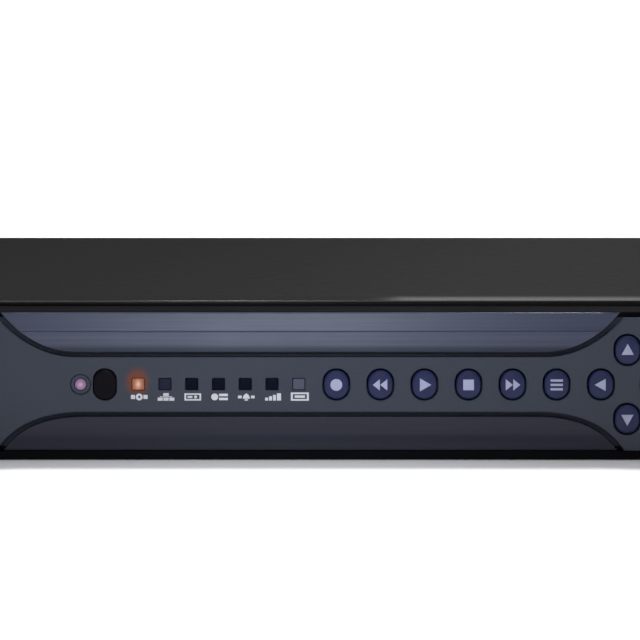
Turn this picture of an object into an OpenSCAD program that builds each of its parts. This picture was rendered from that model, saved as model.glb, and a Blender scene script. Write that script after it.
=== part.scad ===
// Compact eight-input video recorder with a hard disk, front keys and rear sockets.
// Frame: origin under the middle of the case at the level of its feet,
// +X to the right seen from the front, +Y to the rear, +Z up. Millimetres.

/* [Case] */
// Width of the case
case_w = 300; // [298:1:306]
// Depth from the face of the front panel to the outside of the rear panel
case_d = 226; // [224:1:236]
// Height of the top of the cover above the ground
case_h = 44.2; // [44.2:0.2:48]
// Height of the rubber feet
foot_h = 3; // [2.5:0.5:3]
// Thickness of the sheet steel
sheet_t = 1; // [0.8:0.1:1]
// Depth of the plastic front moulding
bezel_d = 20; // [20:0.5:22]

/* [Front panel] */
// Height of the key row above the ground
row_z = 22; // [21.5:0.1:22.5]
// Width of the groove between the panel and its trims
groove_w = 1.3; // [0.8:0.1:1.6]
// Width of a key cap
key_w = 7; // [6.4:0.1:7]
// Height of a key cap
key_h = 8.3; // [7.6:0.1:8.3]
// Distance that a key stands proud of the panel
key_proud = 1; // [0.8:0.1:1.2]
// Travel of a key
key_travel = 0.8; // [0.5:0.1:0.8]
// Pitch of the six row keys
key_pitch = 12.67; // [12:0.01:12.7]
// Pitch of the seven status windows
led_pitch = 7.7; // [7:0.1:7.7]

/* [Sockets] */
// Length of a video socket behind the rear panel
bnc_len = 15; // [14:0.5:16]
// Radius of a video socket barrel
bnc_r = 4.8; // [4.8:0.05:4.85]
// Pitch of the video sockets
bnc_pitch = 16.5; // [16:0.1:16.5]
// Radius of an audio socket barrel
rca_r = 4.15; // [4.1:0.05:4.2]

/* [Fan] */
// Side of the square fan frame
fan_s = 35; // [35:1:36]
// Radius of the fan shaft
fan_shaft_r = 1; // [0.8:0.1:1.2]
// Number of fan blades
fan_blades = 7; // [5:1:9]

/* [Hidden] */
$fn = 48;

hw = case_w / 2;
total_d = case_d + key_proud + bnc_len;
yF = -total_d / 2 + key_proud;      // face of the front panel
yR = yF + case_d;                   // outside of the rear panel
yB = yF + bezel_d;                  // back of the front moulding
zb = foot_h;                        // underside of the tray
zf = zb + sheet_t;                  // inside of the tray floor
zt = case_h;                        // top of the cover
face_z0 = zb - 0.3;                 // lower edge of the panel
face_z1 = zt - 1.7;                 // upper edge of the upper trim
end_z1 = face_z1 - 1.4;             // upper edge of the panel beside the trim
trim_x = 1.5;                       // middle of both trims
fascia_t = 3.6;
yP = yF + fascia_t;                 // front of the black base plate
yQ = yP + 2.4;                      // back of the black base plate
yPCB = yQ + 7.5;                    // front of the front board
pcb_t = 1.6;

groove_hi = row_z + 8.6;            // middle of the upper groove
groove_lo = row_z - 8.7;            // middle of the lower groove
led_x = [for (i = [0:6]) -48 + led_pitch * i];
row_x = [for (i = [0:5]) 9 + key_pitch * i];
nav_x = 92.7;
nav_dx = 7.6;
nav_dz = 10;
nav = [[nav_x - nav_dx, row_z], [nav_x, row_z + nav_dz], [nav_x, row_z - nav_dz], [nav_x + nav_dx, row_z]];
key_xz = concat([for (x = row_x) [x, row_z]], nav);
ir_x = -57.6;
power_x = -64.6;
usb_x = 127;

// main board
mb_x0 = -143; mb_x1 = 88;
mb_y0 = yR - 86; mb_y1 = yR - 2.5;
mb_z = zf + 4;
mb_top = mb_z + pcb_t;
// rear sockets, X positions
bnc_cols = [for (i = [0:3]) 57 - bnc_pitch * i];
bnc_out_x = -9;
bnc_lo = 16.5; bnc_hi = 34;
bnc_xz = concat([for (x = bnc_cols) [x, bnc_lo]], [for (x = bnc_cols) [x, bnc_hi]], [[bnc_out_x, bnc_lo]]);
rca_x = -24; rca_lo = 15.6; rca_hi = 30;
vga_x = -48; vga_z = mb_top + 7;
hdmi_x = -74; usbr_x = -91; lan_x = -109; dc_x = -126; rocker_x = -139.4; rocker_z = 26;
term_x = 77;
fan_x = 112; fan_z = 24;
fan_y0 = yR - sheet_t - 10; fan_y1 = yR - sheet_t;
// hard disk
hd_x0 = -8; hd_l = 147; hd_w = 101.6; hd_y0 = yF + 28; hd_z0 = zf + 3; hd_t = 26.1;
hd_holes = [for (x = [41.28, 85.73], y = [3.18, 98.43]) [hd_x0 + x, hd_y0 + y]];
pcb_holes = [[-138, 28], [-50, 28], [82, 28], [-138, mb_y1 - 8], [-66, mb_y1 - 30], [66, mb_y1 - 26]];
foot_xy = [for (x = [-1, 1], y = [-1, 1]) [x * (hw - 22), y * 78 - 4]];
bezel_holes = [for (x = [-1, 1], z = [11, 35]) [x * (hw - 8), z]];
fb_holes = [[-70, 33], [-70, 11.5], [4, 35], [4, 9], [77, 35], [77, 9], [112, 35], [112, 9]];
side_screw_y = [-70, 80];

// ---------- helpers ----------
function arc(cx, cy, r, a0, a1, n) = [for (i = [0:n]) [cx + r * cos(a0 + (a1 - a0) * i / n), cy + r * sin(a0 + (a1 - a0) * i / n)]];
function rrect(w, h, r, n = 5) = concat(arc(w / 2 - r, h / 2 - r, r, 0, 90, n), arc(-w / 2 + r, h / 2 - r, r, 90, 180, n),
    arc(-w / 2 + r, -h / 2 + r, r, 180, 270, n), arc(w / 2 - r, -h / 2 + r, r, 270, 360, n));
function bez(a, b, c, n) = [for (i = [0:n]) let (t = i / n) (1 - t) * (1 - t) * a + 2 * t * (1 - t) * b + t * t * c];
function rev(p) = [for (i = [len(p) - 1:-1:0]) p[i]];
function flipx(p) = [for (q = p) [-q[0], q[1]]];
function unit(v) = v / norm(v);
// prism along Y from y0 to y1 of an outline in X and Z
module xz(y0, y1) translate([0, y1, 0]) rotate([90, 0, 0]) linear_extrude(y1 - y0) children();
// prism along X from x0 to x1 of an outline in Y and Z
module yz(x0, x1) translate([x0, 0, 0]) rotate([90, 0, 90]) linear_extrude(x1 - x0) children();
module box(x0, x1, y0, y1, z0, z1) translate([x0, y0, z0]) cube([x1 - x0, y1 - y0, z1 - z0]);
// cylinder along Y from y0 to y1
module ycyl(x, z, r, y0, y1) translate([x, y0, z]) rotate([-90, 0, 0]) cylinder(r = r, h = y1 - y0);
module zcyl(x, y, r, z0, z1) translate([x, y, z0]) cylinder(r = r, h = z1 - z0);
module slotxz(x, z, w, h, y0, y1, r) translate([x, 0, z]) xz(y0, y1) polygon(rrect(w, h, r));
// pan head screw along -Z: its head on top at z, shank below
module pan_screw(r, l, hr, hh) difference() {
    union() { translate([0, 0, -l]) cylinder(r = r, h = l + 0.01); cylinder(r = hr, h = hh * 0.55); translate([0, 0, hh * 0.55]) cylinder(r1 = hr, r2 = hr * 0.72, h = hh * 0.45); }
    for (a = [0, 90]) rotate(a) translate([-hr * 0.55, -0.3, hh - 0.9]) cube([hr * 1.1, 0.6, 1.2]);
}
// countersunk screw along -Z, top of the head at z = 0
module csk_screw(r, l, hr, hh) difference() {
    union() { translate([0, 0, -l]) cylinder(r = r, h = l - hh + 0.01); translate([0, 0, -hh]) cylinder(r1 = r, r2 = hr, h = hh); }
    for (a = [0, 90]) rotate(a) translate([-hr * 0.5, -0.3, -0.7]) cube([hr, 0.6, 1]);
}
// tube of radius r swept along points p with s sides
function path_at(p, t) = let (n = len(p) - 1, i = min(floor(t), n - 1), f = t - i, a = p[max(i - 1, 0)], b = p[i], c = p[i + 1], d = p[min(i + 2, n)])
    0.5 * ((2 * b) + (c - a) * f + (2 * a - 5 * b + 4 * c - d) * f * f + (3 * b - a - 3 * c + d) * f * f * f);
function smooth(p, k) = [for (i = [0:k]) path_at(p, (len(p) - 1) * i / k)];
module tube(p, rx, ry, s = 8) {
    n = len(p);
    tan = [for (i = [0:n - 1]) unit(p[min(i + 1, n - 1)] - p[max(i - 1, 0)])];
    pts = [for (i = [0:n - 1]) let (t = tan[i], u = unit(cross([0.12, 0.05, 1], t)), v = cross(t, u)) for (j = [0:s - 1]) p[i] + u * rx * cos(360 * j / s) + v * ry * sin(360 * j / s)];
    sides = [for (i = [0:n - 2]) for (j = [0:s - 1]) let (k = (j + 1) % s) for (q = [[i * s + j, (i + 1) * s + j, i * s + k], [i * s + k, (i + 1) * s + j, (i + 1) * s + k]]) q];
    polyhedron(points = pts, faces = concat([[for (j = [0:s - 1]) j]], sides, [[for (j = [s - 1:-1:0]) (n - 1) * s + j]]));
}

// ---------- front panel outlines ----------
// d grows the pocket outwards from the middle of the groove
function hi_edge(d) = bez([67.5, groove_hi - d], [80.5 + 0.7 * d, groove_hi - d], [91.5 + 1.5 * d, 44], 14);
function lo_edge(d) = bez([65.5, groove_lo + d], [82.7 + 0.7 * d, groove_lo + d], [89.5 + 1.5 * d, 2.6], 14);
function hi_pocket(d, top) = concat(hi_edge(d), [[93.5 + 1.5 * d, top], [-93.5 - 1.5 * d, top]], rev(flipx(hi_edge(d))));
function lo_pocket(d, bottom) = concat(lo_edge(d), [[92 + 1.5 * d, bottom], [-92 - 1.5 * d, bottom]], rev(flipx(lo_edge(d))));
// plan outline of the front moulding with rounded front corners
module plan(z0, z1, inset = 0, r = 4) translate([0, 0, z0]) linear_extrude(z1 - z0)
    polygon(concat([[hw - inset, yB - 0.2], [-hw + inset, yB - 0.2]], arc(-hw + inset + r, yF + inset + r, r, 180, 270, 8), arc(hw - inset - r, yF + inset + r, r, 270, 360, 8)));

module key_hole(x, z, grow, y0, y1) slotxz(x, z, key_w + 2 * grow, key_h + 2 * grow, y0, y1, key_w / 2 + grow - 0.05);

// ---------- case ----------
module chassis_tray() color("dimgray") difference() {
    union() {
        box(-hw + 1.2, hw - 1.2, yB, yR - sheet_t, zb, zf);
        for (s = [-1, 1]) box(s * (hw - 1.7) - 0.5, s * (hw - 1.7) + 0.5, yB + sheet_t, yR - sheet_t, zf - 0.01, zf + 12);
        box(-hw + 1.2, hw - 1.2, yB, yB + sheet_t, zf - 0.01, zt - 3.2);
        for (p = pcb_holes) zcyl(p[0], p[1], 3, zf - 0.01, mb_z);
        for (p = hd_holes) zcyl(p[0], p[1], 4.6, zf - 0.01, hd_z0);
    }
    for (p = pcb_holes) zcyl(p[0], p[1], 1.3, zb - 1, mb_z + 1);
    for (p = hd_holes) zcyl(p[0], p[1], 1.95, zb - 1, hd_z0 + 1);
    for (p = foot_xy) zcyl(p[0], p[1], 2.1, zb - 1, zf + 1);
    for (p = bezel_holes) ycyl(p[0], p[1], 1.7, yB - 1, yB + 2);
    // windows in the front wall: ribbon cable, and air
    box(-42, -14, yB - 1, yB + 2, 12, 30);
    for (x = [-120, -96, 20, 46, 72, 98]) slotxz(x, 22, 16, 12, yB - 1, yB + 2, 2);
    // air slots under the hard disk
    for (i = [0:8]) box(20 + i * 12, 24 + i * 12, hd_y0 + 22, hd_y0 + 80, zb - 1, zf + 1);
    for (s = [-1, 1], y = side_screw_y) translate([s * (hw - 1.7), y, 10]) rotate([0, 90, 0]) cylinder(r = 1.6, h = 4, center = true);
    for (x = [-120, 102]) zcyl(x, yR - 6, 1.6, zb - 1, zf + 1);
}

module fan_grille() for (i = [-4:4], j = [-4:4]) let (x = i * 4 + (abs(j) % 2) * 2, z = j * 3.5) if (norm([x, z]) < 15.4) ycyl(fan_x + x, fan_z + z, 1.45, yR - 3, yR + 1);

module rear_panel() color("dimgray") difference() {
    union() {
        box(-hw + 1.2, hw - 1.2, yR - sheet_t, yR, zb, zt - 1.2);
        for (x = [-120, 102]) box(x - 7, x + 7, yR - 11, yR - sheet_t + 0.01, zf, zf + 1);
    }
    for (x = [-120, 102]) zcyl(x, yR - 6, 1.3, zf - 1, zf + 2);
    fan_grille();
    for (a = [-1, 1], b = [-1, 1]) ycyl(fan_x + a * 14.5, fan_z + b * 14.5, 1.6, yR - 3, yR + 1);
    for (p = bnc_xz) ycyl(p[0], p[1], 6.5, yR - 3, yR + 1);
    for (z = [rca_lo, rca_hi]) ycyl(rca_x, z, 4.7, yR - 3, yR + 1);
    slotxz(vga_x, vga_z, 18.6, 10.2, yR - 3, yR + 1, 2);
    for (s = [-1, 1]) ycyl(vga_x + s * 12.495, vga_z, 3.6, yR - 3, yR + 1);
    slotxz(hdmi_x, mb_top + 3.4, 16, 6.8, yR - 3, yR + 1, 0.6);
    slotxz(usbr_x, mb_top + 8, 14.2, 16.4, yR - 3, yR + 1, 0.6);
    slotxz(lan_x, mb_top + 6.9, 16.6, 14.2, yR - 3, yR + 1, 0.6);
    slotxz(dc_x, mb_top + 5.7, 9.8, 11.8, yR - 3, yR + 1, 0.6);
    slotxz(term_x, mb_top + 4.4, 16.4, 9.4, yR - 3, yR + 1, 0.6);
    slotxz(rocker_x, rocker_z, 8.8, 13.8, yR - 3, yR + 1, 0.4);
    for (x = [-100, 138]) ycyl(x, zt - 4.6, 1.3, yR - 3, yR + 1);
    ycyl(137, 12, 1.3, yR - 3, yR + 1);
}

module top_cover() color([0.18, 0.18, 0.18]) difference() {
    union() {
        // top and sides as one bent profile
        translate([0, yR, 0]) rotate([90, 0, 0]) linear_extrude(case_d - bezel_d)
            polygon(concat([[hw, zb + 0.2]], arc(hw - 1.6, zt - 1.6, 1.6, 0, 90, 6), arc(-hw + 1.6, zt - 1.6, 1.6, 90, 180, 6), [[-hw, zb + 0.2], [-hw + sheet_t, zb + 0.2]],
                rev(arc(-hw + 1.6, zt - 1.6, 1.6 - sheet_t, 90, 180, 6)), rev(arc(hw - 1.6, zt - 1.6, 1.6 - sheet_t, 0, 90, 6)), [[hw - sheet_t, zb + 0.2]]));
        // hem folded down along the front edge
        box(-hw + 2, hw - 2, yB, yB + sheet_t, zt - 2.9, zt - sheet_t + 0.01);
        // tabs over the rear panel
        for (x = [-100, 138]) {
            box(x - 6.5, x + 6.5, yR + 0.02, yR + sheet_t, zt - 8.4, zt - 0.15);
            box(x - 6.5, x + 6.5, yR - 0.5, yR + sheet_t, zt - sheet_t + 0.05, zt - 0.15);
        }
    }
    for (s = [-1, 1], y = side_screw_y) translate([s * hw, y, 10]) rotate([0, -90 * s, 0]) {
        translate([0, 0, -0.5]) cylinder(r = 1.7, h = 3);
        translate([0, 0, -0.01]) cylinder(r1 = 3.15, r2 = 1.7, h = sheet_t + 0.01);
    }
    for (x = [-100, 138]) ycyl(x, zt - 4.6, 1.7, yR - 0.5, yR + 2);
    // air slots in both sides
    for (s = [-1, 1], i = [0:19]) translate([0, -54 + i * 6, 27]) yz(s * (hw - 0.5) - 2, s * (hw - 0.5) + 2) polygon(rrect(2.6, 17, 1.25, 4));
}

module feet() color([0.1, 0.1, 0.1]) for (p = foot_xy) union() {
    zcyl(p[0], p[1], 8, 0, foot_h);
    zcyl(p[0], p[1], 2, foot_h - 0.01, zf);
    translate([p[0], p[1], zf]) cylinder(r1 = 2.9, r2 = 2, h = 1.4);
}

module front_bezel() color([0.05, 0.05, 0.06]) difference() {
    union() {
        difference() {
            intersection() { plan(zb, face_z1 + 0.2, 0.3, 3.7); box(-hw, hw, yP, yB, 0, 60); }
            box(-hw + 2.3, hw - 2.3, yQ, yB + 1, zb + 2, face_z1 - 1.6);
        }
        // plinth below the panel, down to just above the ground
        intersection() { plan(0.3, face_z0 - 0.05, 0.6, 3.4); box(-hw, hw, yF, yQ, 0, 60); }
        intersection() { plan(0.3, zb + 0.3, 0.3, 3.7); box(-hw, hw, yP, yQ, 0, 60); }
        // bosses for the case screws and for the front board
        for (p = bezel_holes) ycyl(p[0], p[1], 3.4, yQ - 0.01, yB - 0.2);
        for (p = fb_holes) ycyl(p[0], p[1], 2.3, yQ - 0.01, yPCB);
        // black collar round the power light
        ycyl(power_x, row_z, 2.85, yF + 0.3, yP + 0.01);
    }
    for (p = key_xz) key_hole(p[0], p[1], 0.25, yP - 1, yQ + 1);
    for (x = led_x) slotxz(x, row_z + 0.1, 3.6, 3.4, yP - 1, yQ + 1, 0.3);
    slotxz(ir_x, row_z, 6.8, 9.2, yP - 1, yQ + 1, 3.3);
    ycyl(power_x, row_z, 1.75, yF - 1, yQ + 1);
    slotxz(usb_x, row_z, 13.8, 6.4, yP - 1, yQ + 1, 0.4);
    for (p = bezel_holes) ycyl(p[0], p[1], 1.25, yB - 9, yB + 1);
    for (p = fb_holes) ycyl(p[0], p[1], 0.95, yPCB - 6, yPCB + 1);
}

module fascia_panel() color([0.25, 0.27, 0.32]) difference() {
    intersection() { plan(face_z0, end_z1); box(-hw, hw, yF, yP, 0, 60); }
    translate([trim_x, 0, 0]) xz(yF - 1, yP + 1) polygon(hi_pocket(groove_w / 2, 60));
    translate([trim_x, 0, 0]) xz(yF - 1, yP + 1) polygon(lo_pocket(groove_w / 2, -10));
    for (p = key_xz) key_hole(p[0], p[1], 0.4, yF - 1, yP + 1);
    for (x = led_x) slotxz(x, row_z + 0.1, 3.6, 3.4, yF - 1, yP + 1, 0.3);
    slotxz(ir_x, row_z, 6.8, 9.2, yF - 1, yP + 1, 3.3);
    ycyl(power_x, row_z, 2.9, yF - 1, yP + 1);
    slotxz(usb_x, row_z, 14.6, 7.2, yF - 1, yP + 1, 1);
}

module upper_trim() color([0.36, 0.39, 0.46]) intersection() {
    translate([trim_x, 0, 0]) xz(yF - 1, yP) polygon(hi_pocket(-groove_w / 2, 60));
    yz(-hw, hw) polygon([[yP, groove_hi], [yF + 0.5, groove_hi], [yF + 0.9, groove_hi + 7.4], [yF + 1.15, groove_hi + 7.6], [yF + 2.7, face_z1], [yP, face_z1]]);
}

module lower_trim() color([0.2, 0.21, 0.26]) intersection() {
    translate([trim_x, 0, 0]) xz(yF - 1, yP) polygon(lo_pocket(-groove_w / 2, -10));
    yz(-hw, hw) polygon([[yP, groove_lo], [yF + 0.5, groove_lo], [yF + 0.9, groove_lo - 5.8], [yF + 1.8, face_z0], [yP, face_z0]]);
}

// ---------- windows and keys ----------
module ir_window() color([0.04, 0.02, 0.03]) slotxz(ir_x, row_z, 6.5, 8.9, yF + 0.1, yQ + 1.2, 3.15);

module power_lens() color([0.75, 0.65, 0.8]) union() { ycyl(power_x, row_z, 1.65, yF + 0.2, yPCB - 2); translate([power_x, yF + 0.21, row_z]) rotate([90, 0, 0]) cylinder(r1 = 1.65, r2 = 1.1, h = 0.4); }

module lens(x, front) slotxz(x, row_z + 0.1, 3.4, 3.2, front, yPCB - 2, 0.25);
module status_lens_lit() color([1, 0.55, 0.2]) lens(led_x[0], yF - 0.35);
module status_lenses() color([0.06, 0.07, 0.12]) for (i = [1:6]) lens(led_x[i], yF + 0.15);

// key cap with its collar behind the base plate and its stem
module key(p) color([0.13, 0.15, 0.25]) union() {
    intersection() {
        slotxz(p[0], p[1], key_w, key_h, yF - key_proud, yQ + 0.06, key_w / 2 - 0.05);
        translate([p[0], yF - key_proud + 26, p[1]]) sphere(r = 26, $fn = 96);
    }
    slotxz(p[0], p[1], key_w + 2.4, key_h + 2.4, yQ + 0.05, yQ + 1.2, key_w / 2 + 1.1);
    ycyl(p[0], p[1], 1.6, yQ + 1.19, yQ + 2.9);
}

// silicone key mat: a sheet on the front board with a hollow dome under each key
module key_mat() color([0.3, 0.3, 0.32]) difference() {
    union() {
        box(row_x[0] - 5.6, nav_x - nav_dx - 5, yPCB - 1, yPCB, row_z - 6, row_z + 6);
        box(nav_x - nav_dx - 5.01, nav_x + nav_dx + 5.5, yPCB - 1, yPCB, row_z - 15.6, row_z + 15.6);
        for (p = key_xz) translate([p[0], yPCB - 0.99, p[1]]) rotate([90, 0, 0]) { cylinder(r1 = 3.9, r2 = 2.6, h = 1.9); translate([0, 0, 1.89]) cylinder(r = 2.2, h = 1.61); }
    }
    for (p = key_xz) translate([p[0], yPCB + 0.01, p[1]]) rotate([90, 0, 0]) difference() { cylinder(r1 = 3.1, r2 = 2, h = 2.1); translate([0, 0, 1]) cylinder(r = 1.5, h = 2); }
}

// ---------- front board ----------
module front_board() color("darkgreen") difference() {
    box(-76, 138, yPCB, yPCB + pcb_t, 6.4, 38);
    for (p = fb_holes) ycyl(p[0], p[1], 1.2, yPCB - 1, yPCB + 3);
}
module front_leds() color([0.95, 0.95, 0.85]) for (x = concat([power_x], led_x)) box(x - 1, x + 1, yPCB - 0.8, yPCB, row_z - 0.6, row_z + 0.6);
module ir_receiver() color([0.08, 0.08, 0.08]) union() {
    box(ir_x - 3, ir_x + 3, yPCB - 3, yPCB, row_z - 3.4, row_z + 3.4);
    intersection() { translate([ir_x, yPCB - 2.9, row_z]) sphere(r = 2.4); box(ir_x - 3, ir_x + 3, yPCB - 6, yPCB - 2.5, row_z - 3, row_z + 3); }
}
// flat cable from the front board to the main board, seen from the side
ribbon = [[yPCB + pcb_t + 3.2, 21], [yB - 1, 21], [yB + 6, 20.6], [yB + 12, 17], [yB + 16, 10], [yB + 22, 6], [yB + 34, 5], [mb_y0 - 22, 5], [mb_y0 - 12, 6], [mb_y0 - 6, 9.5], [mb_y0 - 1, 12], [mb_y0 + 3.6, 12.2]];
function lift(p, d) = [for (i = [0:len(p) - 1]) let (t = unit(p[min(i + 1, len(p) - 1)] - p[max(i - 1, 0)])) p[i] + d * [-t[1], t[0]]];
module ribbon_cable() color("gainsboro") yz(-38, -18) polygon(concat(lift(ribbon, 0.25), rev(lift(ribbon, -0.25))));
module board_sockets() color("ivory") union() {
    difference() { box(-41, -15, yPCB + pcb_t, yPCB + pcb_t + 3.6, 18.4, 23.6); box(-38.4, -17.6, yPCB + pcb_t + 2.6, yPCB + pcb_t + 5, 20.6, 21.4); }
    difference() { box(-41, -15, mb_y0 + 2.6, mb_y0 + 8, mb_top, mb_top + 4.8); box(-38.4, -17.6, mb_y0 + 1, mb_y0 + 4, mb_top + 2.2, mb_top + 3.1); }
    // disk data header, disk power header, fan header
    box(-2, 12, mb_y0 + 4, mb_y0 + 10, mb_top, mb_top + 3.5);
    box(20, 32, mb_y0 + 4, mb_y0 + 10, mb_top, mb_top + 4);
    box(78, 86, mb_y1 - 40, mb_y1 - 35, mb_top, mb_top + 4.5);
}

// ---------- main board ----------
module main_board() color([0.05, 0.3, 0.15]) difference() {
    box(mb_x0, mb_x1, mb_y0, mb_y1, mb_z, mb_top);
    for (p = pcb_holes) zcyl(p[0], p[1], 1.6, mb_z - 1, mb_top + 1);
}
module processor() color([0.1, 0.1, 0.1]) box(-82, -58, mb_y0 + 16, mb_y0 + 40, mb_top, mb_top + 1.8);
module heat_sink() color("silver") union() {
    box(-85, -55, mb_y0 + 13, mb_y0 + 43, mb_top + 1.8, mb_top + 4.3);
    for (i = [0:9]) box(-85 + i * 3.2, -83.8 + i * 3.2, mb_y0 + 13, mb_y0 + 43, mb_top + 4.29, mb_top + 15);
}
module board_chips() color([0.09, 0.09, 0.1]) {
    for (y = [14, 30]) box(-108, -96, mb_y0 + y, mb_y0 + y + 11, mb_top, mb_top + 1.2);
    box(-132, -120, mb_y0 + 22, mb_y0 + 40, mb_top, mb_top + 1.2);
    for (x = [12, 40]) box(x, x + 14, mb_y0 + 30, mb_y0 + 44, mb_top, mb_top + 1.4);
    box(-44, -36, mb_y0 + 34, mb_y0 + 44, mb_top, mb_top + 1.6);
}
module capacitors() color([0.15, 0.2, 0.45]) for (p = [[-126, 52], [-114, 52], [60, 46], [72, 40], [-24, 44]]) union() {
    zcyl(p[0], mb_y0 + p[1] , 4, mb_top, mb_top + 10.6);
    translate([p[0], mb_y0 + p[1], mb_top + 10.59]) cylinder(r1 = 4, r2 = 3.5, h = 0.4);
}
module coin_cell_holder() color([0.12, 0.12, 0.12]) difference() {
    zcyl(-4, mb_y0 + 26, 11.6, mb_top, mb_top + 5);
    zcyl(-4, mb_y0 + 26, 10.2, mb_top + 1.6, mb_top + 6);
    box(-4 - 3, -4 + 3, mb_y0 + 10, mb_y0 + 18, mb_top + 1.6, mb_top + 6);
}
module coin_cell() color("silver") union() { zcyl(-4, mb_y0 + 26, 10, mb_top + 1.6, mb_top + 4.4); zcyl(-4, mb_y0 + 26, 9.2, mb_top + 4.39, mb_top + 4.8); }

// ---------- hard disk and its cables ----------
module drive_casting() color([0.6, 0.6, 0.62]) difference() {
    box(hd_x0, hd_x0 + hd_l, hd_y0, hd_y0 + hd_w, hd_z0, hd_z0 + hd_t - 1.5);
    box(hd_x0 + 12, hd_x0 + hd_l - 8, hd_y0 + 10, hd_y0 + hd_w - 10, hd_z0 - 1, hd_z0 + 2.2);
    for (p = hd_holes) zcyl(p[0], p[1], 1.85, hd_z0 - 1, hd_z0 + 6);
    // recess for the two plugs
    box(hd_x0 - 1, hd_x0 + 6, hd_y0 + 12, hd_y0 + 56, hd_z0 + 1.4, hd_z0 + 8.6);
}
module drive_lid() color("silver") union() {
    translate([hd_x0 + hd_l / 2, hd_y0 + hd_w / 2, hd_z0 + hd_t - 1.5]) linear_extrude(0.9) polygon(rrect(hd_l - 4, hd_w - 4, 6));
    translate([hd_x0 + 92, hd_y0 + hd_w / 2, hd_z0 + hd_t - 0.61]) cylinder(r = 46, h = 0.4);
    zcyl(hd_x0 + 92, hd_y0 + hd_w / 2, 12.5, hd_z0 + hd_t - 0.3, hd_z0 + hd_t);
    for (p = [[8, 8], [8, hd_w - 8], [hd_l - 8, 8], [hd_l - 8, hd_w - 8], [70, 6], [70, hd_w - 6]]) zcyl(hd_x0 + p[0], hd_y0 + p[1], 2.6, hd_z0 + hd_t - 0.7, hd_z0 + hd_t);
}
module drive_board() color([0.05, 0.25, 0.12]) union() {
    box(hd_x0 + 14, hd_x0 + hd_l - 40, hd_y0 + 12, hd_y0 + hd_w - 12, hd_z0 + 0.6, hd_z0 + 2.2);
}
module drive_screws() color("silver") for (p = hd_holes) translate([p[0], p[1], zb]) mirror([0, 0, 1]) pan_screw(1.75, 8.5, 3.6, 1.7);
dp_z = hd_z0 + 5;
module drive_plugs() color([0.1, 0.1, 0.1]) {
    // at the disk: data, power. At the board: data, power.
    box(hd_x0 - 12, hd_x0 + 5.6, hd_y0 + 14, hd_y0 + 26, dp_z - 3, dp_z + 3);
    box(hd_x0 - 12, hd_x0 + 5.6, hd_y0 + 29, hd_y0 + 53, dp_z - 3, dp_z + 3);
    box(-1.6, 11.6, mb_y0 + 4.4, mb_y0 + 9.6, mb_top + 3.5, mb_top + 14);
    box(20.4, 31.6, mb_y0 + 4.4, mb_y0 + 9.6, mb_top + 4, mb_top + 13);
}
sata_pts = [[5, mb_y0 + 7, mb_top + 16], [5, mb_y0 + 7, mb_top + 18.5], [-1, mb_y0 - 1, mb_top + 24], [-16, mb_y0 - 7, mb_top + 25], [-36, mb_y0 - 16, mb_top + 20],
    [-50, -18, 20], [-56, -40, 15], [-52, -62, 12.5], [-40, hd_y0 + 21, 12], [-32, hd_y0 + 20, 12], [hd_x0 - 15, hd_y0 + 20, 12]];
module sata_cable() color("firebrick") tube(concat([[5, mb_y0 + 7, mb_top + 14.05]], smooth(sata_pts, 44), [[hd_x0 - 12.05, hd_y0 + 20, 12]]), 1.5, 3.2, 8);
pow_pts = [[26, mb_y0 + 7, mb_top + 15], [26, mb_y0 + 7, mb_top + 17.5], [20, mb_y0 - 2, mb_top + 27], [4, mb_y0 - 7, mb_top + 29.5], [-16, mb_y0 - 24, mb_top + 25],
    [-32, -24, 22], [-39, -38, 15], [-38, hd_y0 + 43, 12], [-32, hd_y0 + 41, 12], [hd_x0 - 15, hd_y0 + 41, 12]];
function spread(q, k, i) = q + [(k - 1.5) * 2 * (i < 4 ? 1 : (i < 6 ? 0.6 : 0)), (k - 1.5) * 2 * (i < 4 ? 0 : 1), 0];
module drive_power_cable() color([0.7, 0.6, 0.1]) for (k = [0:3]) tube(concat([spread([26, mb_y0 + 7, mb_top + 13.05], k, 0)], smooth([for (i = [0:len(pow_pts) - 1]) spread(pow_pts[i], k, i)], 30), [spread([hd_x0 - 12.05, hd_y0 + 41, 12], k, 9)]), 0.8, 0.8, 8);

// ---------- fan ----------
module fan_frame() color([0.07, 0.07, 0.07]) translate([fan_x, fan_y1, fan_z]) rotate([90, 0, 0]) union() {
    difference() {
        linear_extrude(10) polygon(rrect(fan_s, fan_s, 3));
        translate([0, 0, -1]) cylinder(r = 16.5, h = 12);
        for (a = [-1, 1], b = [-1, 1]) translate([a * 14.5, b * 14.5, -1]) cylinder(r = 1.5, h = 12);
    }
    difference() {
        union() {
            cylinder(r = 9, h = 1.5);
            for (a = [45:90:315]) rotate(a) translate([8, -1, 0]) cube([9, 2, 1.5]);
            cylinder(r = 7.4, h = 6.2);
        }
        translate([0, 0, -1]) cylinder(r = fan_shaft_r + 0.05, h = 12);
    }
}
module fan_rotor() color([0.12, 0.12, 0.13]) translate([fan_x, fan_y1, fan_z]) rotate([90, 0, 0]) union() {
    difference() { translate([0, 0, 2]) cylinder(r = 9.2, h = 7.4); translate([0, 0, 1]) cylinder(r = 8, h = 7.2); }
    translate([0, 0, 1.8]) cylinder(r = fan_shaft_r, h = 7);
    intersection() {
        difference() { translate([0, 0, 2.2]) cylinder(r = 15.9, h = 7); translate([0, 0, 1]) cylinder(r = 9, h = 10); }
        union() for (i = [0:fan_blades - 1]) rotate(i * 360 / fan_blades) translate([8, 0, 5.7]) rotate([38, 0, 0]) translate([0, -7, -0.55]) cube([10, 14, 1.1]);
    }
}
module fan_screws() color("silver") for (a = [-1, 1], b = [-1, 1]) translate([fan_x + a * 14.5, yR, fan_z + b * 14.5]) rotate([-90, 0, 0]) pan_screw(1.4, 8, 2.8, 1.6);
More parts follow.
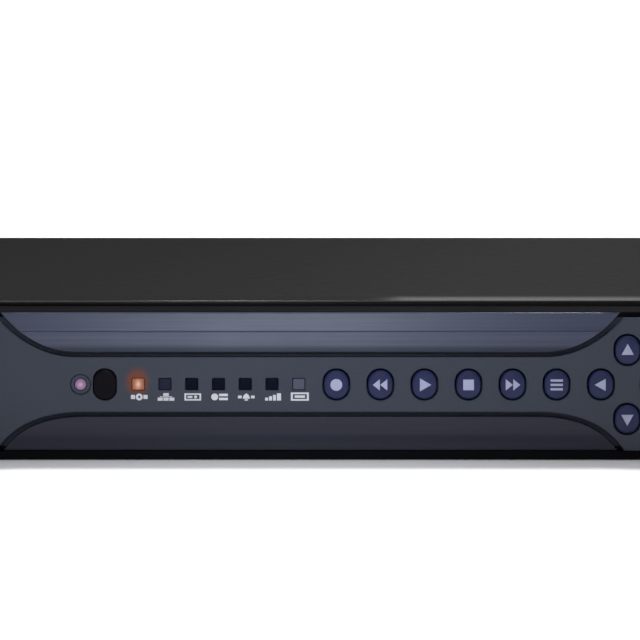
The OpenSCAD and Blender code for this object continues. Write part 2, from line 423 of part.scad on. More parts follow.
module fan_cable() color([0.1, 0.1, 0.1]) for (k = [0, 1]) tube(smooth([[fan_x - fan_s / 2 - 0.15, fan_y0 + 3, 34 + k * 1.6], [90, fan_y0 + 3, 34 + k * 1.6], [85, fan_y0 - 4, 30 + k * 1.6], [82 - k, fan_y0 - 12, 24], [82 - 1.6 * k, mb_y1 - 37.5, 19], [82 - 1.6 * k, mb_y1 - 37.5, mb_top + 4.65]], 22), 0.6, 0.6, 8);

// ---------- rear sockets ----------
module bnc_housings() color([0.08, 0.08, 0.09]) {
    for (x = bnc_cols) difference() {
        box(x - 7.4, x + 7.4, yR - 18, yR - sheet_t - 0.2, mb_top, 41.4);
        for (z = [bnc_lo, bnc_hi]) ycyl(x, z, 5.1, yR - 10, yR + 1);
    }
    difference() {
        box(bnc_out_x - 7.4, bnc_out_x + 7.4, yR - 18, yR - sheet_t - 0.2, mb_top, 24.4);
        ycyl(bnc_out_x, bnc_lo, 5.1, yR - 10, yR + 1);
    }
}
// barrel with bayonet lugs, revolved about its own axis
module bnc_barrel() union() {
    difference() {
        union() {
            cylinder(r = 5, h = 10.05);
            translate([0, 0, 8.9]) cylinder(r = 6.2, h = 2.6);
            translate([0, 0, 11.4]) cylinder(r = 5.6, h = 1.6);
            translate([0, 0, 12.9]) cylinder(r = bnc_r, h = bnc_len - 2.9);
        }
        translate([0, 0, 1]) cylinder(r = 3.6, h = 40);
    }
    for (a = [0, 180]) rotate(a) translate([0, -bnc_r + 0.3, bnc_len + 4.6]) rotate([90, 0, 0]) cylinder(r = 0.95, h = 1);
}
module bnc_barrels() color("silver") for (p = bnc_xz) translate([p[0], yR - 10, p[1]]) rotate([-90, 0, 0]) bnc_barrel();
module bnc_inserts() for (p = bnc_xz) translate([p[0], yR - 10, p[1]]) rotate([-90, 0, 0]) {
    color("white") difference() { translate([0, 0, 1]) cylinder(r = 3.55, h = 12.5); translate([0, 0, 2]) cylinder(r = 0.75, h = 20); }
    color("gold") difference() { translate([0, 0, 2]) cylinder(r = 0.7, h = 15.5); translate([0, 0, 12]) cylinder(r = 0.45, h = 8); }
}
module rca_jacks() {
    color([0.08, 0.08, 0.09]) difference() {
        box(rca_x - 5.4, rca_x + 5.4, yR - 14, yR - sheet_t - 0.2, mb_top, 36.4);
        for (z = [rca_lo, rca_hi]) ycyl(rca_x, z, 4.35, yR - 6, yR + 1);
    }
    color("silver") for (z = [rca_lo, rca_hi]) difference() {
        union() { ycyl(rca_x, z, rca_r - 0.3, yR - 6, yR + 0.5); ycyl(rca_x, z, rca_r, yR + 0.49, yR + 9); }
        ycyl(rca_x, z, 3.3, yR - 4.5, yR + 12);
    }
    color("red") for (z = [rca_lo, rca_hi]) difference() {
        ycyl(rca_x, z, 3.25, yR - 4.5, yR + 8.2);
        ycyl(rca_x, z, 1.7, yR - 3, yR + 12);
    }
}
// outline of the D shaped shell of a 15 way socket
function dshell(w, h, s) = [[-w / 2 + s, -h / 2], [w / 2 - s, -h / 2], [w / 2, h / 2 - 1.4], [w / 2 - 1.4, h / 2], [-w / 2 + 1.4, h / 2], [-w / 2, h / 2 - 1.4]];
module vga_port() union() {
    color("silver") union() {
        difference() { translate([vga_x, 0, vga_z]) xz(yR - sheet_t - 1, yR - sheet_t - 0.2) polygon(rrect(30.8, 12.4, 1)); for (s = [-1, 1]) ycyl(vga_x + s * 12.495, vga_z, 1.5, yR - 5, yR + 1); }
        difference() {
            translate([vga_x, 0, vga_z]) xz(yR - sheet_t - 0.3, yR + 5.8) polygon(dshell(17, 8.4, 1.6));
            for (i = [0:14]) let (r = floor(i / 5), c = i % 5) ycyl(vga_x + (c - 2) * 2.29 + (r == 1 ? -0.7 : 0.4), vga_z + (r - 1) * 1.98, 0.45, yR + 1, yR + 7);
        }
    }
    color([0.1, 0.15, 0.5]) box(vga_x - 15.4, vga_x + 15.4, yR - 12, yR - sheet_t - 1, mb_top, vga_z + 6);
    color("silver") for (s = [-1, 1]) translate([vga_x + s * 12.495, yR - sheet_t - 0.2, vga_z]) rotate([-90, 0, 0]) difference() {
        cylinder(r = 2.75, h = 6, $fn = 6);
        translate([0, 0, 0.8]) cylinder(r = 1.2, h = 8);
    }
}
module hdmi_port() {
    color("silver") translate([hdmi_x, 0, mb_top + 3.4]) difference() {
        xz(yR - 11, yR + 0.8) polygon([[-7.5, 3.1], [7.5, 3.1], [7.5, -1.2], [6, -3.1], [-6, -3.1], [-7.5, -1.2]]);
        xz(yR - 10, yR + 2) polygon([[-7, 2.6], [7, 2.6], [7, -1], [5.7, -2.6], [-5.7, -2.6], [-7, -1]]);
    }
    color([0.1, 0.1, 0.1]) box(hdmi_x - 5, hdmi_x + 5, yR - 9.95, yR - 0.6, mb_top + 3, mb_top + 4.6);
}
// one type A socket: shell with its tongue, opening towards +Y at y
module usb_a(x, y, z, l) {
    color("silver") translate([x, 0, z]) difference() { xz(y - l, y) polygon(rrect(13.2, 5.8, 0.4)); xz(y - l + 0.8, y + 1) polygon(rrect(12.5, 5.1, 0.3)); }
    color([0.12, 0.12, 0.12]) box(x - 5.6, x + 5.6, y - l + 0.81, y - 1.2, z + 0.3, z + 2.1);
}
module usb_sockets() {
    usb_a(usbr_x, yR + 0.8, mb_top + 4, 14);
    usb_a(usbr_x, yR + 0.8, mb_top + 12, 14);
    color([0.1, 0.1, 0.1]) box(usbr_x - 6.4, usbr_x + 6.4, yR - 12, yR - 1.4, mb_top + 6.95, mb_top + 9.05);
    color([0.1, 0.1, 0.1]) box(usbr_x - 6.4, usbr_x + 6.4, yR - 12, yR - 1.4, mb_top, mb_top + 1.05);
    translate([usb_x, 0, row_z]) rotate(180) translate([-usb_x, 0, -row_z]) usb_a(usb_x, -yF - 0.9, row_z, yPCB - yF - 0.9);
}
module lan_port() difference() {
    color("silver") box(lan_x - 8, lan_x + 8, yR - 15, yR + 0.8, mb_top, mb_top + 13.6);
    box(lan_x - 6, lan_x + 6, yR - 12, yR + 2, mb_top + 3, mb_top + 10);
    box(lan_x - 3, lan_x + 3, yR - 12, yR + 2, mb_top + 1.2, mb_top + 3.5);
    for (s = [-1, 1]) box(lan_x + s * 6 - 1.3, lan_x + s * 6 + 1.3, yR + 0.4, yR + 2, mb_top + 11, mb_top + 12.4);
}
module dc_jack() color([0.07, 0.07, 0.07]) {
    difference() {
        box(dc_x - 4.6, dc_x + 4.6, yR - 14, yR + 0.6, mb_top, mb_top + 11.2);
        ycyl(dc_x, mb_top + 6, 3.1, yR - 10, yR + 2);
        ycyl(dc_x, mb_top + 6, 1.05, yR - 12, yR + 2);
    }
    color("silver") ycyl(dc_x, mb_top + 6, 1, yR - 12, yR - 0.6);
}
module terminal_block() color([0.1, 0.45, 0.2]) difference() {
    box(term_x - 7.8, term_x + 7.8, yR - 12, yR + 3.4, mb_top, mb_top + 8.8);
    for (i = [0:3]) {
        box(term_x - 6.9 + i * 3.6, term_x - 4.3 + i * 3.6, yR - 4, yR + 5, mb_top + 1, mb_top + 3.8);
        ycyl(term_x - 5.6 + i * 3.6, mb_top + 6.2, 1.2, yR + 0.4, yR + 5);
    }
}
module rocker_frame() color([0.06, 0.06, 0.06]) difference() {
    union() {
        slotxz(rocker_x, rocker_z, 10.4, 15.2, yR, yR + 1.4, 0.8);
        slotxz(rocker_x, rocker_z, 8.4, 13.4, yR - 12, yR + 0.01, 0.3);
    }
    slotxz(rocker_x, rocker_z, 6.8, 11.8, yR - 9, yR + 3, 0.2);
    translate([rocker_x - 5, yR - 2.6, rocker_z]) rotate([0, 90, 0]) cylinder(r = 1.05, h = 10);
}
rocker_tilt = 9;
module rocker() color([0.1, 0.1, 0.1]) translate([rocker_x, yR - 2.6, rocker_z]) rotate([-rocker_tilt, 0, 0]) union() {
    yz(-3.1, 3.1) polygon([[-2.4, -3], [3.6, -4.9], [3.2, -2.2], [2.9, 0], [3.2, 2.2], [3.6, 4.9], [-2.4, 3]]);
    translate([-4, 0, 0]) rotate([0, 90, 0]) cylinder(r = 1, h = 8);
}

// ---------- fasteners ----------
module case_screws() color("silver") {
    for (s = [-1, 1], y = side_screw_y) translate([s * hw, y, 10]) rotate([0, 90 * s, 0]) csk_screw(1.45, 6, 2.95, 1);
    for (x = [-100, 138]) translate([x, yR + sheet_t, zt - 4.6]) rotate([-90, 0, 0]) pan_screw(1.2, 5, 2.7, 1.5);
    // earth screw with its washer
    translate([137, yR, 12]) rotate([-90, 0, 0]) { difference() { cylinder(r = 3.6, h = 0.6); translate([0, 0, -1]) cylinder(r = 1.35, h = 3); } translate([0, 0, 0.6]) pan_screw(1.2, 5, 2.8, 1.7); }
    for (x = [-120, 102]) translate([x, yR - 6, zb]) mirror([0, 0, 1]) pan_screw(1.2, 3, 2.6, 1.3);
}
module internal_screws() color("silver") {
    for (p = pcb_holes) translate([p[0], p[1], mb_top]) pan_screw(1.2, 5, 2.7, 1.6);
    for (p = bezel_holes) translate([p[0], yB + sheet_t, p[1]]) rotate([-90, 0, 0]) pan_screw(1.2, 8, 2.7, 1.6);
    for (p = fb_holes) translate([p[0], yPCB + pcb_t, p[1]]) rotate([-90, 0, 0]) pan_screw(0.9, 6, 1.9, 1.3);
}

chassis_tray();
rear_panel();
top_cover();
front_bezel();
fascia_panel();
upper_trim();
lower_trim();
ir_window();
power_lens();
status_lens_lit();
status_lenses();
key(key_xz[0]);  // key_record
key(key_xz[1]);  // key_rewind
key(key_xz[2]);  // key_play
key(key_xz[3]);  // key_stop
key(key_xz[4]);  // key_forward
key(key_xz[5]);  // key_menu
key(key_xz[6]);  // key_left
key(key_xz[7]);  // key_up
key(key_xz[8]);  // key_down
key(key_xz[9]);  // key_right
key_mat();
front_board();
front_leds();
ir_receiver();
ribbon_cable();
board_sockets();
main_board();
processor();
heat_sink();
board_chips();
capacitors();
coin_cell_holder();
coin_cell();
sata_cable();
drive_power_cable();
drive_plugs();
drive_casting();
drive_lid();
drive_board();
drive_screws();
fan_frame();
fan_rotor();
fan_screws();
fan_cable();
bnc_housings();
bnc_barrels();
bnc_inserts();
rca_jacks();
vga_port();
hdmi_port();
usb_sockets();
lan_port();
dc_jack();
terminal_block();
rocker_frame();
rocker();
feet();
case_screws();
internal_screws();
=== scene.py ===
"""Looks of the video recorder: materials, fine pieces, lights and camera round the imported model."""

import math

import bmesh
import bpy
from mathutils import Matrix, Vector


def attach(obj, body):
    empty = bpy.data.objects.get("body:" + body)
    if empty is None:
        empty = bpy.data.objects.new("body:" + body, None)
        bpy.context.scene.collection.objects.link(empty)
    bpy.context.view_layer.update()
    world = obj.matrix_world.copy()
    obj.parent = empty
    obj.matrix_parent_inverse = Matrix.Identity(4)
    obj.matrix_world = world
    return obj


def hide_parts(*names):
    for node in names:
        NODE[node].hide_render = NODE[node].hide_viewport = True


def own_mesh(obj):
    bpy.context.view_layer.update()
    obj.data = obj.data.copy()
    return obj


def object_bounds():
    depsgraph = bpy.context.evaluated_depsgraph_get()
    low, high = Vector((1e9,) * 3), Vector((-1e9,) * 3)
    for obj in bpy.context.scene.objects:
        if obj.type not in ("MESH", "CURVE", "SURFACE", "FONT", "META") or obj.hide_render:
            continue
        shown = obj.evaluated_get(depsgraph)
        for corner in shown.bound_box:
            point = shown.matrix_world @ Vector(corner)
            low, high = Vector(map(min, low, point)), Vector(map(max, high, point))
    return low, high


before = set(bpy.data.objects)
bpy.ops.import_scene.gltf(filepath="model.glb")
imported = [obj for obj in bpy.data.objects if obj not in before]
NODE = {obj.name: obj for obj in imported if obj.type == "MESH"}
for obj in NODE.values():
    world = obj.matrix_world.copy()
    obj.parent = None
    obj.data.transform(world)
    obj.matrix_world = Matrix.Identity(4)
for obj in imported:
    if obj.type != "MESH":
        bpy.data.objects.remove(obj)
CAD_LO, CAD_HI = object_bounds()
SC = bpy.context.scene
MM = 0.001

# positions in mm that the CAD source also holds
YF, YR = -120.0, 106.0
YP = YF + 3.6
ROW_Z = 22.0
MB_TOP = 9.6
LED_X = [-48 + 7.7 * i for i in range(7)]
ROW_X = [9 + 12.67 * i for i in range(6)]
NAV_X = 92.7
KEYS = {
    "key_record": (ROW_X[0], ROW_Z),
    "key_rewind": (ROW_X[1], ROW_Z),
    "key_play": (ROW_X[2], ROW_Z),
    "key_stop": (ROW_X[3], ROW_Z),
    "key_forward": (ROW_X[4], ROW_Z),
    "key_menu": (ROW_X[5], ROW_Z),
    "key_left": (NAV_X - 7.6, ROW_Z),
    "key_up": (NAV_X, ROW_Z + 10),
    "key_down": (NAV_X, ROW_Z - 10),
    "key_right": (NAV_X + 7.6, ROW_Z),
}
POWER_X = -64.6
BNC_COLS = [57 - 16.5 * i for i in range(4)]
BNC = [(x, 16.5) for x in BNC_COLS] + [(x, 34.0) for x in BNC_COLS] + [(-9.0, 16.5)]
RCA = [(-24.0, 15.6), (-24.0, 30.0)]
VGA = (-48.0, MB_TOP + 7)
HDMI = (-74.0, MB_TOP + 3.4)
USBR = [(-91.0, MB_TOP + 4), (-91.0, MB_TOP + 12)]
LAN = (-109.0, MB_TOP)
DC = (-126.0, MB_TOP + 6)
TERM_X = 77.0
FAN = (112.0, 24.0)


# ---------------------------------------------------------------- materials
class Mat:
    """A Principled material with helpers that add procedural detail in object space."""

    def __init__(self, name, rgb, rough, metal=0.0, spec=0.5, coat=0.0, coat_rough=0.1):
        self.m = bpy.data.materials.new(name)
        self.m.use_nodes = True
        self.nt = self.m.node_tree
        self.bsdf = self.nt.nodes["Principled BSDF"]
        self.set("Base Color", (*rgb, 1))
        self.set("Roughness", rough)
        self.set("Metallic", metal)
        self.set("Specular IOR Level", spec)
        self.set("Coat Weight", coat)
        self.set("Coat Roughness", coat_rough)
        self.tc = self.nt.nodes.new("ShaderNodeTexCoord")
        self.height = None
        self.m.diffuse_color = (*rgb, 1)

    def set(self, key, value):
        self.bsdf.inputs[key].default_value = value

    def new(self, kind, **inputs):
        n = self.nt.nodes.new(kind)
        for k, v in inputs.items():
            n.inputs[k.replace("_", " ")].default_value = v
        return n

    def noise(self, scale, detail=2.0, rough=0.5, squeeze=None):
        n = self.new("ShaderNodeTexNoise", Scale=scale, Detail=detail, Roughness=rough)
        src = self.tc.outputs["Object"]
        if squeeze:
            mp = self.nt.nodes.new("ShaderNodeMapping")
            mp.inputs["Scale"].default_value = squeeze
            self.nt.links.new(src, mp.inputs["Vector"])
            src = mp.outputs["Vector"]
        self.nt.links.new(src, n.inputs["Vector"])
        return n.outputs["Fac"]

    def voronoi(self, scale, feature="F1", out="Distance", squeeze=None):
        n = self.nt.nodes.new("ShaderNodeTexVoronoi")
        n.feature = feature
        n.inputs["Scale"].default_value = scale
        src = self.tc.outputs["Object"]
        if squeeze:
            mp = self.nt.nodes.new("ShaderNodeMapping")
            mp.inputs["Scale"].default_value = squeeze
            self.nt.links.new(src, mp.inputs["Vector"])
            src = mp.outputs["Vector"]
        self.nt.links.new(src, n.inputs["Vector"])
        return n.outputs[out]

    def span(self, fac, lo, hi, a, b):
        """Maps fac from lo..hi to a..b."""
        n = self.nt.nodes.new("ShaderNodeMapRange")
        for k, v in (("From Min", lo), ("From Max", hi), ("To Min", a), ("To Max", b)):
            n.inputs[k].default_value = v
        self.nt.links.new(fac, n.inputs["Value"])
        return n.outputs["Result"]

    def ramp(self, fac, stops):
        n = self.nt.nodes.new("ShaderNodeValToRGB")
        e = n.color_ramp.elements
        while len(e) < len(stops):
            e.new(0.5)
        for el, (p, c) in zip(e, stops):
            el.position = p
            el.color = (*c, 1)
        self.nt.links.new(fac, n.inputs["Fac"])
        return n.outputs["Color"]

    def colour(self, fac, stops):
        self.nt.links.new(self.ramp(fac, stops), self.bsdf.inputs["Base Color"])

    def rough(self, fac, a, b, lo=0.3, hi=0.7):
        self.nt.links.new(self.span(fac, lo, hi, a, b), self.bsdf.inputs["Roughness"])

    def spot(self, centre, size):
        """1 at the centre (mm), fading to 0 over the size in x and z."""
        mp = self.nt.nodes.new("ShaderNodeMapping")
        mp.inputs["Location"].default_value = [-c / h for c, h in zip(centre, (size[0], 1e6, size[1]))]
        mp.inputs["Scale"].default_value = (1000 / size[0], 1e-6, 1000 / size[1])
        self.nt.links.new(self.tc.outputs["Object"], mp.inputs["Vector"])
        ln = self.nt.nodes.new("ShaderNodeVectorMath")
        ln.operation = "LENGTH"
        self.nt.links.new(mp.outputs["Vector"], ln.inputs[0])
        n = self.nt.nodes.new("ShaderNodeMapRange")
        n.interpolation_type = "SMOOTHSTEP"
        for k, v in (("From Min", 0.3), ("From Max", 1.0), ("To Min", 1.0), ("To Max", 0.0)):
            n.inputs[k].default_value = v
        self.nt.links.new(ln.outputs["Value"], n.inputs["Value"])
        return n.outputs["Result"]

    def blend(self, fac, colour, rgb):
        n = self.nt.nodes.new("ShaderNodeMix")
        n.data_type = "RGBA"
        self.nt.links.new(fac, n.inputs["Factor"])
        self.nt.links.new(colour, n.inputs["A"] if n.inputs["A"].type == "RGBA" else n.inputs[6])
        (n.inputs["B"] if n.inputs["B"].type == "RGBA" else n.inputs[7]).default_value = (*rgb, 1)
        return n.outputs[2]

    def bump(self, fac, dist, strength=1.0):
        n = self.nt.nodes.new("ShaderNodeBump")
        n.inputs["Distance"].default_value = dist
        n.inputs["Strength"].default_value = strength
        self.nt.links.new(fac, n.inputs["Height"])
        if self.height is not None:
            self.nt.links.new(self.height, n.inputs["Normal"])
        self.height = n.outputs["Normal"]
        self.nt.links.new(self.height, self.bsdf.inputs["Normal"])
        return self


def shades(rgb, d):
    return [(0.3, tuple(c * (1 - d) for c in rgb)), (0.7, tuple(c * (1 + d) for c in rgb))]


def moulded(name, rgb, rough=0.45, grain=2600, depth=0.00003, spec=0.5, vary=0.08, coat=0.0):
    """Moulded plastic with a spark-eroded grain and faint handling marks."""
    m = Mat(name, rgb, rough, spec=spec, coat=coat)
    m.colour(m.noise(60, 3), shades(rgb, vary))
    m.rough(m.noise(35, 4, 0.6), rough * 0.86, rough * 1.14)
    m.bump(m.noise(grain, 2, 0.6), depth)
    return m.m


def metal(name, rgb, rough=0.25, streak=None, depth=0.00001, vary=0.05):
    m = Mat(name, rgb, rough, metal=1.0)
    m.colour(m.noise(180, 3), shades(rgb, vary))
    m.rough(m.noise(220, 4, 0.6), rough * 0.75, rough * 1.3)
    m.bump(m.noise(900, 2, 0.5, squeeze=streak), depth)
    return m.m


def powder(name, rgb, rough=0.62, spec=0.35):
    """Powder coat: fine pebbling, faintly mottled colour."""
    m = Mat(name, rgb, rough, spec=spec)
    m.colour(m.noise(1500, 3, 0.65), shades(rgb, 0.22))
    m.rough(m.noise(300, 3, 0.6), rough * 0.96, rough * 1.04)
    m.bump(m.voronoi(1300, "SMOOTH_F1"), 0.00005, 0.6)
    m.bump(m.noise(420, 2, 0.5), 0.00004, 0.5)
    return m.m


M = {}
M["cover"] = powder("cover_paint", (0.0083, 0.0077, 0.0083), 0.55, 0.12)
# the coating is smoother along the front fold
nt = M["cover"].node_tree
sep = nt.nodes.new("ShaderNodeSeparateXYZ")
fold = nt.nodes.new("ShaderNodeMapRange")
fold.interpolation_type = "SMOOTHSTEP"
for k, v in (("From Min", (YF + 24) * MM), ("From Max", (YF + 36) * MM), ("To Min", 0.5), ("To Max", 0.0)):
    fold.inputs[k].default_value = v
nt.links.new(nt.nodes["Texture Coordinate"].outputs["Object"], sep.inputs[0])
nt.links.new(sep.outputs["Y"], fold.inputs["Value"])
above = nt.nodes.new("ShaderNodeMapRange")
above.interpolation_type = "SMOOTHSTEP"
for k, v in (("From Min", 42.3 * MM), ("From Max", 43.0 * MM), ("To Min", 0.0), ("To Max", 1.0)):
    above.inputs[k].default_value = v
nt.links.new(sep.outputs["Z"], above.inputs["Value"])
both = nt.nodes.new("ShaderNodeMath")
both.operation = "MULTIPLY"
nt.links.new(fold.outputs["Result"], both.inputs[0])
nt.links.new(above.outputs["Result"], both.inputs[1])
nt.links.new(both.outputs[0], nt.nodes["Principled BSDF"].inputs["Coat Weight"])
nt.nodes["Principled BSDF"].inputs["Coat Roughness"].default_value = 0.14

M["rear"] = powder("rear_paint", (0.03, 0.03, 0.031), 0.6, 0.3)

z = Mat("zinc_steel", (0.55, 0.56, 0.57), 0.42, metal=1.0)
z.colour(z.voronoi(130, out="Color"), [(0.15, (0.42, 0.43, 0.445)), (0.85, (0.62, 0.63, 0.64))])
z.rough(z.voronoi(130, out="Distance"), 0.34, 0.52, 0.0, 1.0)
z.bump(z.noise(1400, 3, 0.5), 0.00001)
M["zinc"] = z.m

black = Mat("black_plastic", (0.004, 0.004, 0.0055), 0.6, spec=0.04)
speckle = black.ramp(black.noise(60, 3), shades((0.004, 0.004, 0.0055), 0.08))
# painted light: the bezel's front wall is painted a lighter grey where it shows at the bottom of the trim grooves, so
# these deep, narrow grooves read brighter than their lighting makes them
where = black.nt.nodes.new("ShaderNodeSeparateXYZ")
black.nt.links.new(black.tc.outputs["Object"], where.inputs[0])
inside = black.nt.nodes.new("ShaderNodeMath")
inside.operation = "MULTIPLY"
black.nt.links.new(black.span(where.outputs["Y"], (YP + 0.2) * MM, (YP + 0.4) * MM, 1.0, 0.0), inside.inputs[0])
black.nt.links.new(black.span(where.outputs["Z"], 41.0 * MM, 41.2 * MM, 1.0, 0.0), inside.inputs[1])
painted_groove_light = black.nt.nodes.new("ShaderNodeMath")
painted_groove_light.operation = "MULTIPLY"
black.nt.links.new(inside.outputs[0], painted_groove_light.inputs[0])
black.nt.links.new(black.span(where.outputs["Z"], 3.6 * MM, 4.0 * MM, 0.0, 1.0), painted_groove_light.inputs[1])
black.nt.links.new(black.blend(painted_groove_light.outputs[0], speckle, (0.056, 0.062, 0.082)), black.bsdf.inputs["Base Color"])
black.rough(black.noise(35, 4, 0.6), 0.52, 0.68)
black.bump(black.noise(2600, 2, 0.6), 0.00003)
M["black"] = black.m
panel = Mat("panel_grey", (0.029, 0.036, 0.056), 0.38, spec=0.32)
grain = panel.ramp(panel.noise(2200, 2, 0.7), shades((0.029, 0.036, 0.056), 0.16))
# painted light: an orange-brown glow round the first status lamp, painted into the panel's colour and given off as a
# faint emission by the panel itself
painted_lamp_glow = panel.spot((LED_X[0] - 0.2, YF, ROW_Z + 0.8), (4.4, 5.2))
panel.nt.links.new(panel.blend(painted_lamp_glow, grain, (0.047, 0.018, 0.008)), panel.bsdf.inputs["Base Color"])
panel.set("Emission Color", (1.0, 0.16, 0.03, 1))
panel.nt.links.new(panel.span(painted_lamp_glow, 0.0, 1.0, 0.0, 0.095), panel.bsdf.inputs["Emission Strength"])
panel.rough(panel.noise(30, 4, 0.6), 0.35, 0.42)
panel.bump(panel.noise(2600, 2, 0.6), 0.000022)
panel.bump(panel.noise(240, 1, 0.5), 0.00002, 0.4)
M["panel"] = panel.m
for key, rgb, rough, spec in (("trim_hi", (0.045, 0.053, 0.096), 0.17, 0.4), ("trim_lo", (0.0148, 0.0165, 0.031), 0.22, 0.23)):
    t = Mat(key + "_gloss", rgb, rough, spec=spec)
    t.colour(t.noise(700, 3, 0.7, squeeze=(0.012, 0.5, 1)), shades(rgb, 0.16))
    if key == "trim_hi":
        # painted shade: the colour darkens, and the specular drops, in a band along its lower edge
        part = t.nt.nodes.new("ShaderNodeSeparateXYZ")
        t.nt.links.new(t.tc.outputs["Object"], part.inputs[0])
        painted_shading_band = t.span(part.outputs["Z"], (ROW_Z + 10.1) * MM, (ROW_Z + 11.7) * MM, 1.0, 0.0)
        streaks = t.bsdf.inputs["Base Color"].links[0].from_socket
        t.nt.links.new(t.blend(painted_shading_band, streaks, (0.026, 0.032, 0.052)), t.bsdf.inputs["Base Color"])
        t.nt.links.new(t.span(painted_shading_band, 0.0, 1.0, spec, 0.16), t.bsdf.inputs["Specular IOR Level"])
    else:
        # painted light: the colour lightens in a band along its lower edge
        part = t.nt.nodes.new("ShaderNodeSeparateXYZ")
        t.nt.links.new(t.tc.outputs["Object"], part.inputs[0])
        painted_shading_band = t.span(part.outputs["Z"], 4.0 * MM, 6.4 * MM, 1.0, 0.0)
        streaks = t.bsdf.inputs["Base Color"].links[0].from_socket
        t.nt.links.new(t.blend(painted_shading_band, streaks, (0.025, 0.027, 0.04)), t.bsdf.inputs["Base Color"])
    t.rough(t.noise(55, 4, 0.65), rough * 0.9, rough * 1.12)
    M[key] = t.m

M["ir"] = moulded("ir_gloss", (0.004, 0.003, 0.005), 0.18, 500, 0.000004, 0.05, 0.05)
M["lens_dark"] = moulded("lens_smoked", (0.003, 0.004, 0.012), 0.22, 500, 0.000005, 0.03)
M["lens_blue"] = moulded("lens_blue", (0.014, 0.016, 0.036), 0.25, 500, 0.000005, 0.06)
M["lens_milk"] = moulded("lens_milk", (0.06, 0.066, 0.1), 0.4, 900, 0.00001, 0.3)


def lamp(name, centre, rgb, core, strength, size):
    """A lit lens: brighter and paler in the middle, deeper at its edges."""
    m = Mat(name, rgb, 0.28)
    geo = m.nt.nodes.new("ShaderNodeMapping")
    geo.inputs["Location"].default_value = [-c * MM for c in centre]
    m.nt.links.new(m.tc.outputs["Object"], geo.inputs["Vector"])
    stretch = m.nt.nodes.new("ShaderNodeVectorMath")
    stretch.operation = "MULTIPLY"
    stretch.inputs[1].default_value = (1 / (size[0] * MM), 0.0, 1 / (size[1] * MM))
    m.nt.links.new(geo.outputs["Vector"], stretch.inputs[0])
    ln = m.nt.nodes.new("ShaderNodeVectorMath")
    ln.operation = "LENGTH"
    m.nt.links.new(stretch.outputs["Vector"], ln.inputs[0])
    m.nt.links.new(m.ramp(ln.outputs["Value"], [(0.0, core), (0.45, tuple((a + b) / 2 for a, b in zip(core, rgb))), (1.0, rgb)]), m.bsdf.inputs["Emission Color"])
    m.nt.links.new(m.span(ln.outputs["Value"], 0.0, 1.0, strength, strength * 0.3), m.bsdf.inputs["Emission Strength"])
    m.bump(m.noise(700, 2), 0.000008)
    return m.m


M["lit"] = lamp("lens_lit", (LED_X[0], YF, ROW_Z + 0.1), (0.25, 0.078, 0.03), (0.66, 0.52, 0.46), 0.83, (1.35, 2.1))
M["pink"] = lamp("lens_pink", (POWER_X, YF, ROW_Z), (0.16, 0.09, 0.17), (0.46, 0.32, 0.5), 0.78, (1.7, 1.7))

key = Mat("key_navy", (0.016, 0.02, 0.07), 0.36, spec=0.22)
key.colour(key.noise(260, 3, 0.6), shades((0.016, 0.02, 0.07), 0.12))
key.rough(key.noise(180, 4, 0.6), 0.28, 0.42)
key.bump(key.noise(3000, 2, 0.6), 0.000012)
M["key"] = key.m
M["print_lav"] = moulded("key_print", (0.36, 0.37, 0.53), 0.5, 3000, 0.000006, 0.4, 0.05)
M["print_white"] = moulded("panel_print", (0.58, 0.58, 0.61), 0.55, 3000, 0.000006, 0.4, 0.05)
M["rear_print"] = moulded("rear_print", (0.5, 0.5, 0.49), 0.6, 2500, 0.000008, 0.3, 0.06)
M["silicone"] = moulded("silicone", (0.22, 0.22, 0.24), 0.62, 1200, 0.00002)
M["chip"] = moulded("chip_black", (0.016, 0.016, 0.017), 0.5, 2200, 0.00003)
M["ivory"] = moulded("socket_ivory", (0.62, 0.58, 0.47), 0.5, 1500, 0.00002)
M["white"] = moulded("insulator_white", (0.66, 0.66, 0.63), 0.42, 1500, 0.00001)
M["rca_red"] = moulded("rca_red", (0.42, 0.02, 0.02), 0.3, 1200, 0.00001)
M["rca_white"] = moulded("rca_white", (0.62, 0.62, 0.6), 0.3, 1200, 0.00001)
M["vga_blue"] = moulded("vga_blue", (0.02, 0.05, 0.3), 0.4, 1500, 0.00002)
M["green"] = moulded("terminal_green", (0.02, 0.2, 0.07), 0.42, 1500, 0.00002)
M["cable_grey"] = Mat("cable_grey", (0.42, 0.42, 0.43), 0.45)
M["cable_grey"].bump(M["cable_grey"].voronoi(1, "F1", squeeze=(790, 0.01, 0.01)), 0.0004, 0.8)
M["cable_grey"] = M["cable_grey"].m
M["cable_red"] = moulded("cable_red", (0.42, 0.02, 0.015), 0.4, 800, 0.00002)
M["cable_yellow"] = moulded("cable_yellow", (0.5, 0.3, 0.02), 0.42, 800, 0.00002)
M["cable_black"] = moulded("cable_black", (0.014, 0.014, 0.014), 0.45, 800, 0.00002)
M["sleeve"] = moulded("capacitor_sleeve", (0.02, 0.035, 0.14), 0.24, 600, 0.00001)
M["rubber"] = moulded("rubber_black", (0.014, 0.014, 0.014), 0.78, 900, 0.00006, 0.3)
M["rocker"] = moulded("rocker_black", (0.012, 0.012, 0.012), 0.3, 2600, 0.00001)
M["nickel"] = metal("nickel", (0.66, 0.63, 0.58), 0.2)
M["tin"] = metal("tin_plate", (0.6, 0.6, 0.6), 0.3)
M["gold"] = metal("gold_plate", (0.78, 0.55, 0.22), 0.22)
M["steel"] = metal("steel_plain", (0.52, 0.52, 0.53), 0.32, streak=(0.05, 1, 1), depth=0.00002)
M["alloy"] = metal("drive_alloy", (0.34, 0.34, 0.36), 0.5, depth=0.00005)
M["screw"] = metal("screw_steel", (0.5, 0.5, 0.51), 0.34)
M["screw_black"] = metal("screw_black", (0.05, 0.05, 0.052), 0.38)
M["sink"] = metal("heat_sink", (0.36, 0.37, 0.39), 0.4, streak=(0.05, 1, 1), depth=0.00002)

